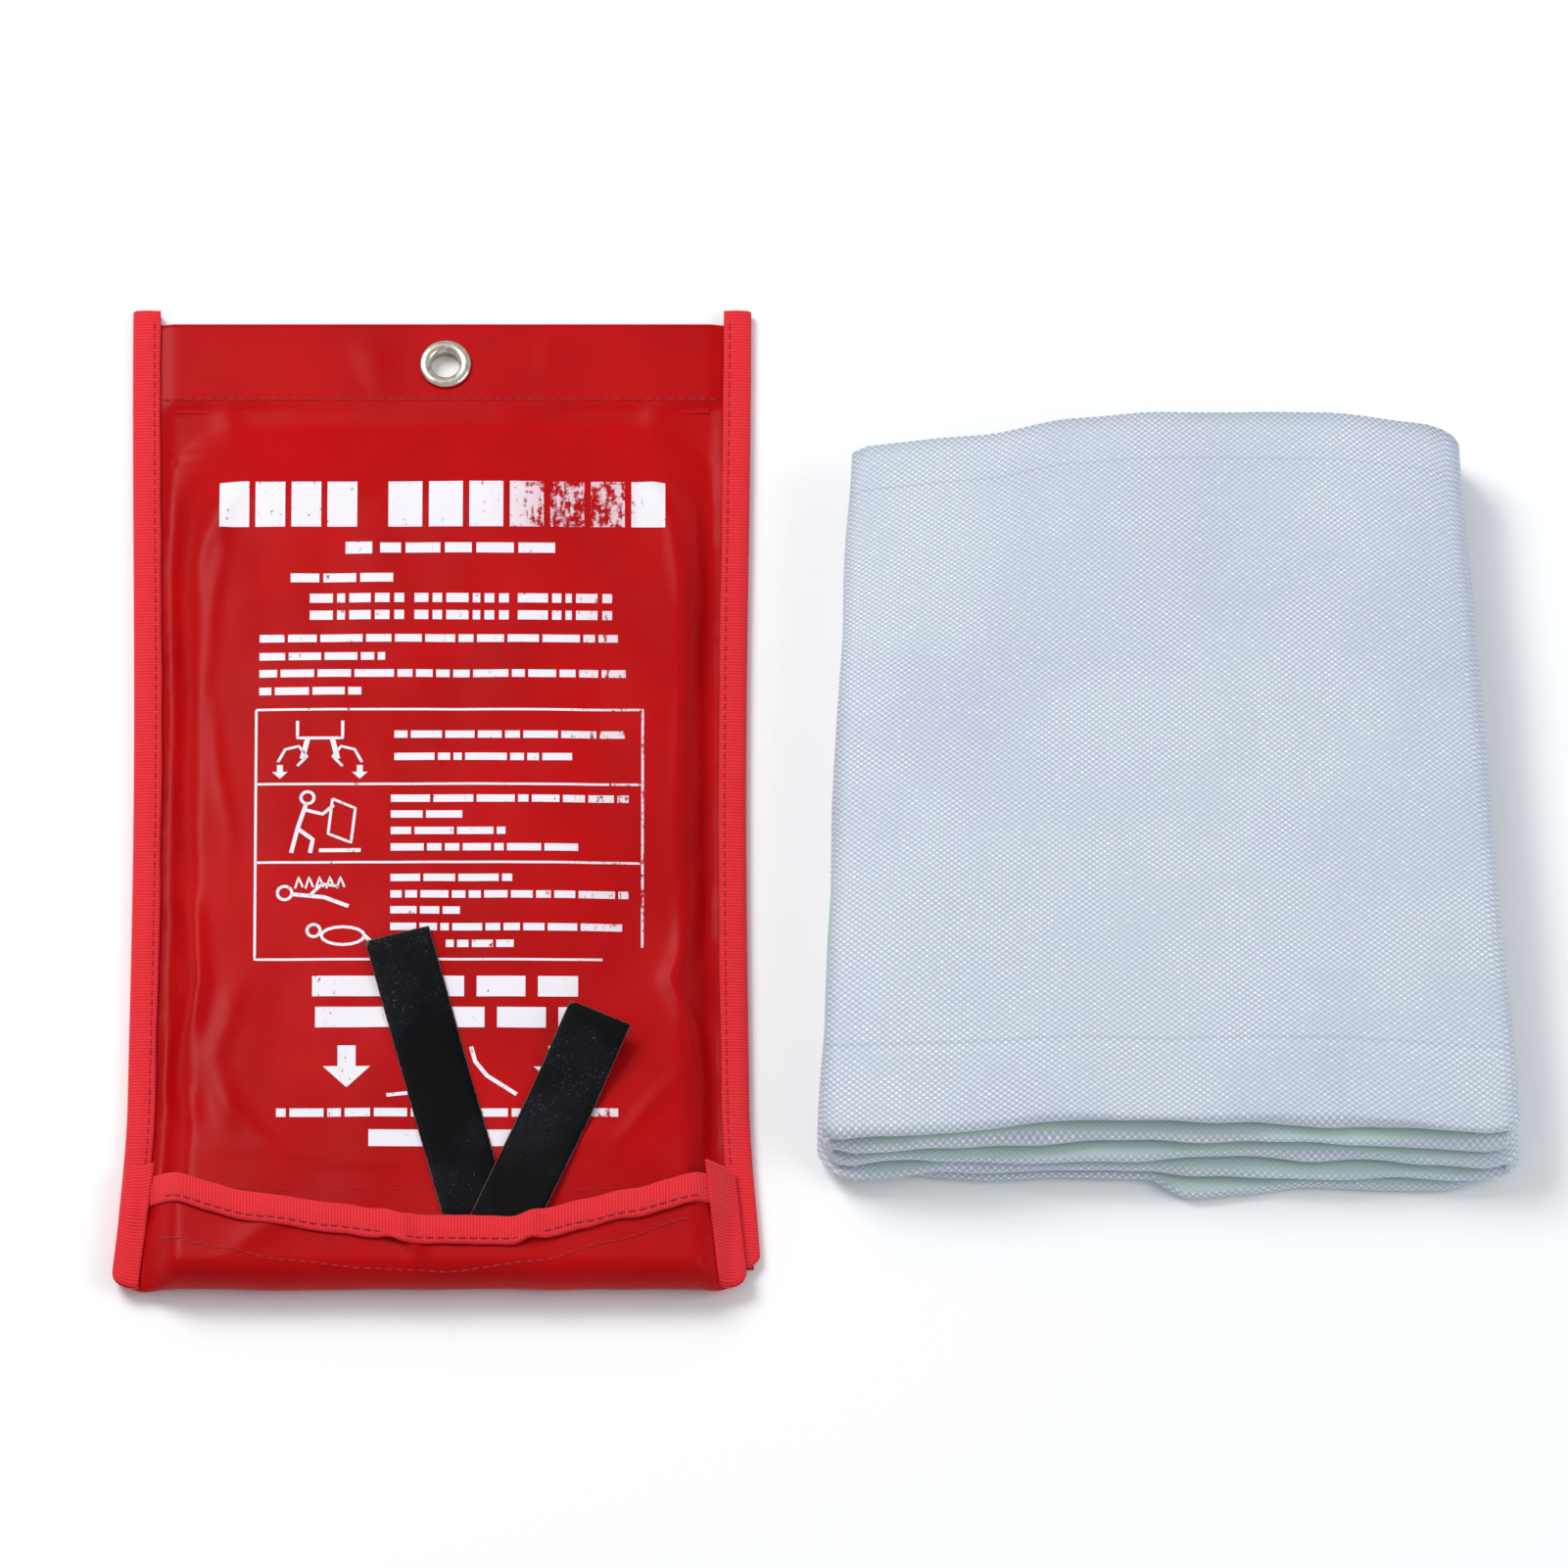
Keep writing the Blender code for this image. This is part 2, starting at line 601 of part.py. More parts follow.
for label, inner, outer, slope, end in (("left", LEFT_INNER, LEFT_OUTER, LEFT_TAPE_SLOPE, LEFT_TAPE_END),
                                        ("right", RIGHT_INNER, RIGHT_OUTER, RIGHT_TAPE_SLOPE,
                                         RIGHT_TAPE_END)):
    ribbon(f"{label}_tape_root", tape_route(inner, outer, slope), webbing)
    level = outer + 0.5 * TAPE
    swing_u = TAPE_X + slope * (SWING_Y - MOUTH_Y)
    swing = empty_at(f"{label}_tape_swing", (POUCH_X + swing_u, SWING_Y, level))
    tail = [(TAPE_X + slope * (y - MOUTH_Y), y, level)
            for y in [SWING_Y + GAP + (FOLD_EDGE + end - SWING_Y) * step / 6 for step in range(7)]]
    ribbon(f"{label}_tape", tail, webbing, swing)

for label, from_end in (("upper", 0.0020), ("lower", 0.0045)):
    thread(f"tape_bar_tack_{label}",
           [(POUCH_X + TAPE_X + s * 0.4 * TAPE_WIDTH, INNER_END - from_end, TACK_LEVEL)
            for s in (-1.0, -0.5, 0.0, 0.5, 1.0)], tack_thread, draw)


# Loose blanket: strips folded to and fro, the top one on its own hinge ---------------------------------
lift = empty_at("blanket_lift", (STRIPS_X, 0.0, 0.0))
STRIP_SHARES = folds(LOWER_STRIPS)
BEND_REACH = SPINE_RADIUS + 0.5 * STRIP


def strip_place(side, reach, height, share_y):
    """A point of the loose blanket, which narrows away from the viewer and leans forward below."""
    near = STRIP_FAR_Y - STRIP_LENGTH - STRIP_STAGGER * (0.5 - height / (LOWER_STRIPS * STRIP_STEP))
    y = near + share_y * (STRIP_FAR_Y - near)
    far = (y - (STRIP_FAR_Y - STRIP_LENGTH)) / STRIP_LENGTH
    half = STRIP_NEAR + (STRIP_FAR - STRIP_NEAR) * max(far, 0.0) - BEND_REACH
    return STRIPS_X + STRIP_DRIFT * far + side * half + math.copysign(reach, side), y, height


def lower_point(share_x, share_y):
    share = STRIP_SHARES[round(share_x * (len(STRIP_SHARES) - 1))]
    return strip_place(*serpentine(share, LOWER_STRIPS, STRIP, STRIP_GAP, 1), share_y)


sheet("blanket_lower_folds", len(STRIP_SHARES) - 1, 6, lower_point, STRIP, 0, glass_fabric, lift)


SPINE_COLUMNS = 10                    # the first and the last lie flat, so the ends stand square


def spine_point(share_x, share_y):
    step = round(share_x * SPINE_COLUMNS)
    turn = math.pi * ((min(max(step, 1), SPINE_COLUMNS - 1) - 1) / (SPINE_COLUMNS - 2) - 0.5)
    flat = GAP if step in (0, SPINE_COLUMNS) else 2 * GAP
    reach = flat + (SPINE_RADIUS - 2 * GAP) * math.cos(turn)
    return strip_place(1.0, reach, SPINE_Z + SPINE_RADIUS * math.sin(turn), share_y)


sheet("blanket_spine_fold", SPINE_COLUMNS, 6, spine_point, STRIP, 0, glass_fabric, lift)
page = empty_at("blanket_top_hinge",
                (STRIPS_X + STRIP_NEAR - BEND_REACH, STRIP_FAR_Y - STRIP_LENGTH, SPINE_Z))


def top_point(share_x, share_y):
    return strip_place(2.0 * share_x - 1.0, 0.0, SPINE_Z + 0.5 * STRIP_STEP, share_y)


sheet("blanket_top_fold", 4, 6, top_point, STRIP, 0, glass_fabric, page)
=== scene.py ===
"""A soft-pouch fire blanket on a pale floor: the hanging pouch, and the blanket folded beside it."""
import math
import random

import bmesh
import bpy
from mathutils import Matrix, Vector, noise


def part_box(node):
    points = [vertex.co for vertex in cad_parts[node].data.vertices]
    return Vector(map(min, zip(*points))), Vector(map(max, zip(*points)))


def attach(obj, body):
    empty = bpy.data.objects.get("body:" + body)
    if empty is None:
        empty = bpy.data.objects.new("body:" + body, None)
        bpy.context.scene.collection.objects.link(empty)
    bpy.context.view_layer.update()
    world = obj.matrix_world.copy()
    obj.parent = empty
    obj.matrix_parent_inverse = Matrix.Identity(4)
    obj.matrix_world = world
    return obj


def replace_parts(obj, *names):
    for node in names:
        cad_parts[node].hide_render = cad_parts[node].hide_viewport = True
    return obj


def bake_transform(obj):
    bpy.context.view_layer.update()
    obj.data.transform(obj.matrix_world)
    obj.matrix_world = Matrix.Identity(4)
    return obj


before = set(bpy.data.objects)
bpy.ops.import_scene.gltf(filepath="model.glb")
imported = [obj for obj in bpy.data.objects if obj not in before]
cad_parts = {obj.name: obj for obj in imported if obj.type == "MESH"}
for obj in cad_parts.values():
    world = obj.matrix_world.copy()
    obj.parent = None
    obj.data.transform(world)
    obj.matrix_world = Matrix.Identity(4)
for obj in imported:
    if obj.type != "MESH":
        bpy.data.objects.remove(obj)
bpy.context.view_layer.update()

mm = 0.001


# Camera, floor and light ---
# Both pieces lie on a plain pale floor and are seen from high above their near ends through a long
# lens. One large soft light hangs over the far left, a weaker one fills in from the right.
ELEVATION = math.radians(66.0)
AIM = Vector((-9.6, 6.5, 0.0)) * mm
DISTANCE = 9.0
lens = bpy.data.cameras.new("camera")
lens.lens = 717.0
lens.clip_start = 0.1
camera = bpy.data.objects.new("camera", lens)
camera.location = AIM + DISTANCE * Vector((0.0, -math.cos(ELEVATION), math.sin(ELEVATION)))
camera.rotation_euler = (0.5 * math.pi - ELEVATION, 0.0, 0.0)
bpy.context.scene.collection.objects.link(camera)
bpy.context.scene.camera = camera
bpy.context.scene.view_settings.view_transform = "Standard"


def area_light(name, place, size, power, colour):
    """A square soft light that faces the middle of the floor."""
    data = bpy.data.lights.new(name, "AREA")
    data.shape = "SQUARE"
    data.size = size
    data.energy = power
    data.color = colour
    light = bpy.data.objects.new(name, data)
    light.location = place
    light.rotation_euler = Vector(place).to_track_quat("Z", "Y").to_euler()
    bpy.context.scene.collection.objects.link(light)


area_light("key_light", (-0.9, 0.8, 1.5), 0.9, 25.0, (1.0, 0.99, 0.97))
area_light("fill_light", (1.3, -0.3, 1.2), 1.0, 8.0, (0.95, 0.98, 1.0))
world = bpy.data.worlds.new("studio")
world.use_nodes = True
world.node_tree.nodes["Background"].inputs["Color"].default_value = (0.93, 0.96, 1.0, 1.0)
world.node_tree.nodes["Background"].inputs["Strength"].default_value = 0.50
bpy.context.scene.world = world


def finished(name, shape, look=None, body=None, soft=True):
    """The object that a bmesh makes: its material, its body if it rides on one, smooth or flat faces."""
    for face in shape.faces:
        face.smooth = soft
    data = bpy.data.meshes.new(name)
    shape.to_mesh(data)
    shape.free()
    if look:
        data.materials.append(look)
    piece = bpy.data.objects.new(name, data)
    bpy.context.scene.collection.objects.link(piece)
    if body:
        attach(piece, body)
    return piece


floor_look = bpy.data.materials.new("pale_floor")
floor_look.use_nodes = True
floor_look.node_tree.nodes["Principled BSDF"].inputs["Base Color"].default_value = (0.94, 0.945, 0.95, 1.0)
floor_look.node_tree.nodes["Principled BSDF"].inputs["Roughness"].default_value = 0.9
shape = bmesh.new()
bmesh.ops.create_grid(shape, x_segments=1, y_segments=1, size=3.0)
bmesh.ops.translate(shape, verts=shape.verts, vec=(0.0, 0.0, -0.15 * mm))
finished("floor", shape, floor_look, soft=False)


# Back panel ---
# The pouch's back is one piece of vinyl-coated polyester. It lies as a shallow pan, flat where it
# rests on the floor and lifted along the seams, and runs on into the bottom fold and the flap.
class Wire:
    """A socket in a material: operators on it add Math nodes, and node() adds any other node."""

    def __init__(self, tree, out=None):
        self.tree = tree
        self.out = out

    def node(self, kind, settings=None, inputs=None, output=0):
        made = self.tree.nodes.new("ShaderNode" + kind)
        for key, value in (settings or {}).items():
            setattr(made, key, value)
        for key, value in (inputs or {}).items():
            if isinstance(value, Wire):
                self.tree.links.new(value.out, made.inputs[key])
            else:
                made.inputs[key].default_value = value
        return Wire(self.tree, made.outputs[output])

    def math(self, operation, first, second=0.0):
        return self.node("Math", {"operation": operation}, {0: first, 1: second})

    def __add__(self, other):
        return self.math("ADD", self, other)

    def __radd__(self, other):
        return self.math("ADD", other, self)

    def __sub__(self, other):
        return self.math("SUBTRACT", self, other)

    def __rsub__(self, other):
        return self.math("SUBTRACT", other, self)

    def __mul__(self, other):
        return self.math("MULTIPLY", self, other)

    def __rmul__(self, other):
        return self.math("MULTIPLY", other, self)

    def wave(self, pitch, shift=None):
        """A sine wave of that pitch along this coordinate, pushed on by shift."""
        turn = self * (2 * math.pi / pitch)
        return self.math("SINE", turn + shift if shift else turn)

    def size(self):
        return self.math("ABSOLUTE", self)

    def between(self, low, high):
        """0 below low, 1 above high, smooth in between."""
        return self.node("MapRange", {"interpolation_type": "SMOOTHSTEP"},
                         {"Value": self, "From Min": low, "From Max": high})

    def blend(self, first, second):
        """The colour first where this is 0 and second where it is 1."""
        return self.node("Mix", {"data_type": "RGBA"}, {"Factor": self, 6: first, 7: second}, 2)

    def cloud(self, place, scale, detail=3.0, rough=0.55):
        return self.node("TexNoise", {}, {"Vector": place, "Scale": scale, "Detail": detail,
                                          "Roughness": rough})

    def object_place(self):
        return self.node("TexCoord", {}, {}, 3)

    def cloth_place(self):
        """Metres along and across the cloth, from its UV map."""
        return self.node("TexCoord", {}, {}, 2)

    def axes(self, place):
        """The two or three coordinates of a place, in metres."""
        split = self.node("SeparateXYZ", {}, {0: place})
        sockets = split.out.node.outputs
        return [Wire(self.tree, socket) for socket in sockets]

    def relief(self, height, depth, strength=1.0):
        return self.node("Bump", {}, {"Strength": strength, "Distance": depth, "Height": height})


def material(name, paint, plain=None):
    """A Principled material: paint gives what varies over the surface, plain what doesn't."""
    made = bpy.data.materials.new(name)
    made.use_nodes = True
    shader = made.node_tree.nodes["Principled BSDF"]
    for key, value in (plain or {}).items():
        shader.inputs[key].default_value = value
    for key, value in paint(Wire(made.node_tree)).items():
        made.node_tree.links.new(value.out, shader.inputs[key])
    return made


def vinyl_paint(wire):
    """Red coating over a fine weave: the threads telegraph through it as a faint grid."""
    place = wire.object_place()
    x, y, _ = wire.axes(place)
    weave = x.wave(0.62 * mm) * y.wave(0.66 * mm)
    mottle = wire.cloud(place, 28.0)
    grain = wire.cloud(place, 900.0, 2.0)
    scuffs = wire.cloud(place, 160.0, 5.0, 0.7).between(0.60, 0.78)
    tone = mottle.between(0.3, 0.7).blend((0.39, 0.0014, 0.0026, 1.0), (0.47, 0.0020, 0.0034, 1.0))
    colour = (scuffs * 0.18).blend(tone, (0.60, 0.012, 0.016, 1.0))
    rough = 0.30 + mottle * 0.08 + scuffs * 0.10
    height = weave * 0.35 + grain * 0.6 + mottle * 1.2
    return {"Base Color": colour, "Roughness": rough, "Normal": wire.relief(height, 0.05 * mm, 0.55)}


vinyl = material("red_vinyl", vinyl_paint, {"Specular IOR Level": 0.08})


def smooth(share):
    share = min(max(share, 0.0), 1.0)
    return share * share * (3.0 - 2.0 * share)


def cloth(name, across, up, place, look, body, measure=None):
    """A grid laid by a function of two shares, with a UV map in metres from measure."""
    shape = bmesh.new()
    bmesh.ops.create_grid(shape, x_segments=across, y_segments=up, size=0.5)
    flat = shape.loops.layers.uv.new("cloth")
    for face in shape.faces:
        for loop in face.loops:
            s, t = loop.vert.co.x + 0.5, loop.vert.co.y + 0.5
            loop[flat].uv = measure(s, t) if measure else (s, t)
    for vert in shape.verts:
        vert.co = place(vert.co.x + 0.5, vert.co.y + 0.5)
    return finished(name, shape, look, body)


def thicken(piece, wall, side):
    """Give an open cloth its wall, on one side of it, or about it when side is 0."""
    solid = piece.modifiers.new("wall", "SOLIDIFY")
    solid.thickness = wall
    solid.offset = side
    solid.use_even_offset = True
    return piece


def settled(piece):
    """Make a piece's modifiers part of its mesh."""
    bpy.context.view_layer.update()
    final = bpy.data.meshes.new_from_object(piece.evaluated_get(bpy.context.evaluated_depsgraph_get()))
    piece.modifiers.clear()
    piece.data = final
    return piece


def middle(node):
    """The middle of a CAD node's box."""
    low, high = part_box(node)
    return 0.5 * (low + high)


WALL = 0.5 * mm
GAP = 0.3 * mm
left_low, left_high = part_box("left_side_binding")
right_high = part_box("right_side_binding")[1]
facing_low, facing_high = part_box("header_facing")
front_low, front_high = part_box("front_panel")
pack_low, pack_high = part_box("packed_blanket")
fold_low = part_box("bottom_fold")[0]
POUCH_X = 0.5 * (left_low.x + right_high.x)
TOP_Y = left_high.y
HEADER_TOP = front_high.y
MOUTH_Y = front_low.y
FLARE = 3.0 * mm
WAIST = 1.4 * mm
FLARE_LENGTH = 60.0 * mm
SIDE_REACH = right_high.x - POUCH_X - FLARE
BINDING_WIDTH = 8.0 * mm
SHOULDER = 12.0 * mm
EDGE_LEVEL = front_low.z
HEADER_LEVEL = facing_high.z + GAP
DOME_LEVEL = front_high.z - WALL
DOME_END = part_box("header_thread")[0].y - 1.5 * mm
DOME_RAMP = 36.0 * mm
FACING_HALF = 0.5 * (facing_high.x - facing_low.x)
HEADER_SEAM = middle("header_thread").y
EYELET = middle("eyelet")
SIDE_INSET = 2.0 * mm


def waver(x, y, z, scale=1.0):
    """Smooth noise, about -1 to 1, at a place measured in a scale."""
    return noise.noise(Vector((x, y, z)) / scale)


def half_width(y):
    """Pouch centre to the outer edge of a side binding."""
    draw_in = math.cos(0.5 * math.pi * min(abs(y) / TOP_Y, 1.0)) ** 2
    spread = smooth(1.0 - (y - fold_low.y) / FLARE_LENGTH)
    return SIDE_REACH - WAIST * draw_in + FLARE * spread


def shoulder(u, y):
    slope = SHOULDER + 14.0 * mm * smooth((y - 68.0 * mm) / (50.0 * mm))
    return smooth((half_width(y) - BINDING_WIDTH - GAP - abs(u)) / slope)


def along(y):
    return smooth((DOME_END - y) / DOME_RAMP)


def back_place(s, t):
    y = MOUTH_Y + t * (HEADER_TOP - MOUTH_Y)
    u = (2.0 * s - 1.0) * (half_width(y) - SIDE_INSET)
    lift = facing_low.z - WALL - GAP
    return Vector((POUCH_X + u, y, lift * (1.0 - shoulder(u, y) * along(y))))


def punched(piece, radius):
    """Cut the eyelet's hole through a panel that lies in the header."""
    shape = bmesh.new()
    bmesh.ops.create_cone(shape, cap_ends=True, segments=48, radius1=radius, radius2=radius, depth=30 * mm,
                          matrix=Matrix.Translation((EYELET.x, EYELET.y, 0.0)))
    cutter = finished("hole", shape, soft=False)
    cut = piece.modifiers.new("hole", "BOOLEAN")
    cut.operation = "DIFFERENCE"
    cut.object = cutter
    settled(piece)
    bpy.data.objects.remove(cutter)
    return piece


BARREL = 5.25 * mm
back = thicken(cloth("pouch_back", 90, 130, back_place, vinyl, "pouch"), WALL, 1.0)
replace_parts(punched(back, BARREL), "back_panel")


# Front panel ---
# The front is the same vinyl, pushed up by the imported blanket. Its side seams pucker it in short
# waves, and long soft creases run in from the seams where the filling ends.
CREASES = (
    # place (from the pouch's centre, along the pouch), direction in degrees, length, width, height
    (-64, 6, 98, 44, 4.0, 0.45), (-66, 58, 84, 50, 4.5, 0.5), (70, 24, 86, 46, 4.0, 0.5),
    (68, 72, 97, 44, 4.0, 0.5), (-30, -116, 172, 60, 6.0, 0.4), (30, -112, 10, 54, 6.0, 0.5),
    (-40, 104, 5, 60, 6.0, -0.3), (38, 103, 174, 56, 6.0, -0.3), (-56, -104, 130, 30, 5.0, 0.6),
    (60, -100, 50, 30, 5.0, 0.6), (-60, 92, 60, 26, 5.0, 0.6), (62, 96, 118, 26, 5.0, 0.5),
    (-62, 120, 100, 30, 7.0, 0.5), (-20, 138, 92, 26, 9.0, 0.5), (30, 140, 86, 26, 9.0, 0.45),
    (62, 124, 80, 30, 8.0, 0.5),
)
RIDGES = (
    # height, width and the (along, across) points that a long soft fold beside a seam runs through
    (1.25, 2.6, ((-108, -71), (-99, -72.4), (-91, -74.4), (-80, -73.6), (-67, -70.4), (-60, -69),
                 (-44, -70.4), (-28, -73))),
    (1.15, 2.8, ((-116, 72), (-106, 75), (-90, 76), (-76, 73.6), (-60, 66.8), (-48, 70.9), (-30, 73),
                 (-20, 74))),
    (0.55, 2.4, ((-24, -71), (0, -73), (30, -72), (60, -74), (96, -71))),
    (0.50, 2.4, ((-20, 72), (8, 74), (36, 72), (66, 74), (98, 72))),
    (0.50, 3.2, ((-112, -60), (-96, -61), (-84, -64), (-70, -60), (-58, -58))),
)


def bell(off, run=0.0):
    """A smooth hill of height 1, falling off with both distances."""
    return math.exp(-off * off - run * run)


def follow(table, at):
    """The height of a smooth line through (place, height) points."""
    for (a, low), (b, high) in zip(table, table[1:]):
        if at <= b:
            share = (at - a) / (b - a)
            return low + (high - low) * (0.6 * smooth(share) + 0.4 * min(max(share, 0.0), 1.0))
    return table[-1][1]


def creased(u, y):
    """Height that the creases, the puckers and the filling's lumps add to the front."""
    rise = 0.7 * waver(u / 34.0, y / 50.0, 3.1, mm) - 1.1 * (u / (72.0 * mm)) ** 2
    rise += 0.22 * waver(u / 13.0, y / 17.0, 8.4, mm)
    for at_u, at_y, turn, length, width, height in CREASES:
        du, dy = u / mm - at_u, y / mm - at_y
        if abs(du) + abs(dy) > 2.2 * length:
            continue
        c, s = math.cos(math.radians(turn)), math.sin(math.radians(turn))
        run, off = du * c + dy * s, -du * s + dy * c
        off += 0.06 * run * math.sin(run / 9.0)
        rise += height * bell(run / (0.5 * length), off / (0.5 * width))
    for height, width, line in RIDGES:
        start, end = line[0][0], line[-1][0]
        if start < y / mm < end:
            off = (u / mm - follow(line, y / mm)) / width
            fade = smooth((y / mm - start) / 12.0) * smooth((end - y / mm) / 12.0)
            rise += height * fade * (bell(off) - 0.5 * bell(off - math.copysign(1.6, u)))
    seam = half_width(y) - BINDING_WIDTH - abs(u)
    pitch = 8.5 + 2.5 * waver(math.copysign(5.0, u), y / (30 * mm), 1.7)
    wave = math.sin(2 * math.pi * y / (pitch * mm)) * waver(u * 10, y / (11 * mm), 4.2)
    rise += 0.9 * wave * math.exp(-max(seam, 0.0) / (6.5 * mm)) * smooth(seam / (1.5 * mm))
    return rise * mm * smooth(seam / (4.0 * mm)) * smooth((HEADER_TOP - y) / (12 * mm))


def front_level(u, y):
    """Upper surface of the front panel."""
    dome = (DOME_LEVEL - EDGE_LEVEL) * shoulder(u, y) * along(y)
    lined = smooth((FACING_HALF + 4.2 * mm - abs(u)) / (4 * mm))
    header = (HEADER_LEVEL - EDGE_LEVEL) * lined * smooth((y - DOME_END + DOME_RAMP) / DOME_RAMP)
    loose = creased(u, y)
    hemmed = smooth((y - HEADER_SEAM + 4 * mm) / (4 * mm))
    loose += hemmed * (max(0.8 * loose, 0.0) - loose)
    return EDGE_LEVEL + WALL + max(dome, header) + loose


def front_place(s, t):
    y = MOUTH_Y + t * (HEADER_TOP - MOUTH_Y)
    u = (2.0 * s - 1.0) * (half_width(y) - SIDE_INSET)
    return Vector((POUCH_X + u, y, front_level(u, y)))


front = thicken(cloth("pouch_front", 150, 236, front_place, vinyl, "pouch"), WALL, -1.0)
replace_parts(punched(front, BARREL), "front_panel")
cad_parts["header_facing"].data.materials.clear()
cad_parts["header_facing"].data.materials.append(vinyl)


# Side bindings ---
# Ribbed polyester grosgrain, folded over each side edge and stitched through. Its ribs run across the
# tape, its folded edge is soft and round, and it stands a little past the header at the top.
def grosgrain_paint(wire):
    """Ribs across the tape a millimetre apart, with a fuzz of lighter fibre on their crests."""
    run = wire.axes(wire.cloth_place())[0]
    wobble = wire.cloud(wire.cloth_place(), 700.0, 2.0)
    ribs = run.wave(0.95 * mm, wobble * 1.6) * 0.5 + 0.5
    fuzz = wire.cloud(wire.object_place(), 2600.0, 2.0)
    tone = ribs.blend((0.60, 0.006, 0.012, 1.0), (0.86, 0.018, 0.032, 1.0))
    colour = (fuzz.between(0.5, 0.8) * 0.22).blend(tone, (0.92, 0.06, 0.08, 1.0))
    return {"Base Color": colour, "Roughness": 0.62 + fuzz * 0.25,
            "Normal": wire.relief(ribs + fuzz * 0.5, 0.16 * mm, 0.9)}


grosgrain = material("red_grosgrain", grosgrain_paint,
                     {"Sheen Weight": 0.25, "Sheen Roughness": 0.5, "Sheen Tint": (1.0, 0.30, 0.32, 1.0),
                      "Specular IOR Level": 0.35})
TAPE_WALL = 0.8 * mm
SIDE_LOW, SIDE_TOP = left_low.z, left_high.z
CORNER = 5.0 * mm
SIDES = (("left", -1), ("right", 1))


def folded_section(share, width, low, high, soft=0.0):
    """A folded binding's skin: reach from its outer edge and height, lower leg to upper leg."""
    half = 0.5 * (high - low)
    leg = width - half
    if share < 0.3:
        return half + leg * (1.0 - share / 0.3), low
    if share > 0.7:
        reach = (share - 0.7) / 0.3
        return half + leg * reach, high + soft * math.sin(math.pi * min(reach * 1.25, 1.0))
    turn = math.pi * ((share - 0.3) / 0.4 - 0.5)
    return half - half * math.cos(turn), 0.5 * (low + high) + half * math.sin(turn)


def side_place(side, s, t):
    y = MOUTH_Y + t * (TOP_Y - MOUTH_Y)
    wave = waver(side * 3.0, y / (17 * mm), 0.4)
    reach, z = folded_section(s, BINDING_WIDTH + 0.25 * mm * wave, SIDE_LOW, SIDE_TOP, 0.22 * mm)
    ripple = 0.18 * mm * waver(side * 9.0, y / (6 * mm), 2.0)
    inner = smooth((reach - 3 * mm) / (4 * mm))
    corner = 1.0 - smooth((y - MOUTH_Y) / CORNER)
    u = side * (half_width(y) - reach - 2.6 * mm * corner ** 2 * (1.0 - reach / (9.5 * mm)))
    z += corner * (4.0 * mm - z) * 0.45
    return Vector((POUCH_X + u, y, z + ripple * inner * (1.0 if s > 0.5 else 0.0)))


for label, side in SIDES:
    tape = cloth(f"{label}_edge_tape", 26, 330, lambda s, t, side=side: side_place(side, s, t), grosgrain,
                 "pouch", lambda s, t: (t * (TOP_Y - MOUTH_Y), s * 20 * mm))
    thicken(tape, TAPE_WALL, side)
    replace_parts(tape, f"{label}_side_binding")


# Seams of the pouch ---
# Lockstitches of twisted red polyester thread: the header's hem, the hem at the mouth and a row along
# each side binding. Every stitch is a short thread that sinks into the fabric at both ends.
def thread_paint(wire):
    x, y, z = wire.axes(wire.object_place())
    twist = (x + y).wave(0.42 * mm, z * 9000.0) * 0.5 + 0.5
    colour = twist.blend((0.20, 0.003, 0.006, 1.0), (0.46, 0.010, 0.016, 1.0))
    return {"Base Color": colour, "Roughness": 0.45 + twist * 0.2, "Normal": wire.relief(twist, 0.06 * mm)}


thread = material("red_thread", thread_paint)


def stitches(name, route, body, node, look=thread, pitch=3.1 * mm, length=2.5 * mm, radius=0.24 * mm):
    """Short threads one after another along a route of points that lie on the fabric."""
    shape = bmesh.new()
    spare = 0.5 * pitch
    for first, last in zip(route, route[1:]):
        step = last - first
        while spare <= step.length:
            spot = first + step * (spare / max(step.length, 1e-9))
            turn = step.to_track_quat("X", "Z").to_matrix().to_4x4()
            size = Matrix.Diagonal((0.5 * length, radius, 0.75 * radius, 1.0))
            bmesh.ops.create_uvsphere(shape, u_segments=8, v_segments=6, radius=1.0,
                                      matrix=Matrix.Translation(spot) @ turn @ size)
            spare += pitch
        spare -= step.length
    piece = finished(name, shape, look, body)
    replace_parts(piece, node)
    return piece


def on_front(u, y, lift=0.05 * mm):
    return Vector((POUCH_X + u, y, front_level(u, y) + lift))


seam_reach = half_width(HEADER_SEAM) - BINDING_WIDTH - 0.5 * mm
stitches("header_stitches",
         [on_front(seam_reach * (s / 60 - 1.0), HEADER_SEAM, 0.1 * mm) for s in range(121)],
         "pouch", "header_thread", length=2.6 * mm, radius=0.34 * mm)
HEM_SEAM = middle("front_hem_thread").y
stitches("hem_stitches", [on_front((-66 + s * 0.5) * mm, HEM_SEAM + 0.3 * mm * math.sin(s / 9))
                          for s in range(280)], "pouch", "front_hem_thread", radius=0.16 * mm)
for label, side in SIDES:
    low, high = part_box(f"{label}_binding_thread")
    rows = [low.y + step / 90 * (high.y - low.y) for step in range(91)]
    stitches(f"{label}_side_stitches",
             [Vector((POUCH_X + side * (half_width(y) - BINDING_WIDTH + 1.7 * mm), y, SIDE_TOP + 0.12 * mm))
              for y in rows], "pouch", f"{label}_binding_thread")


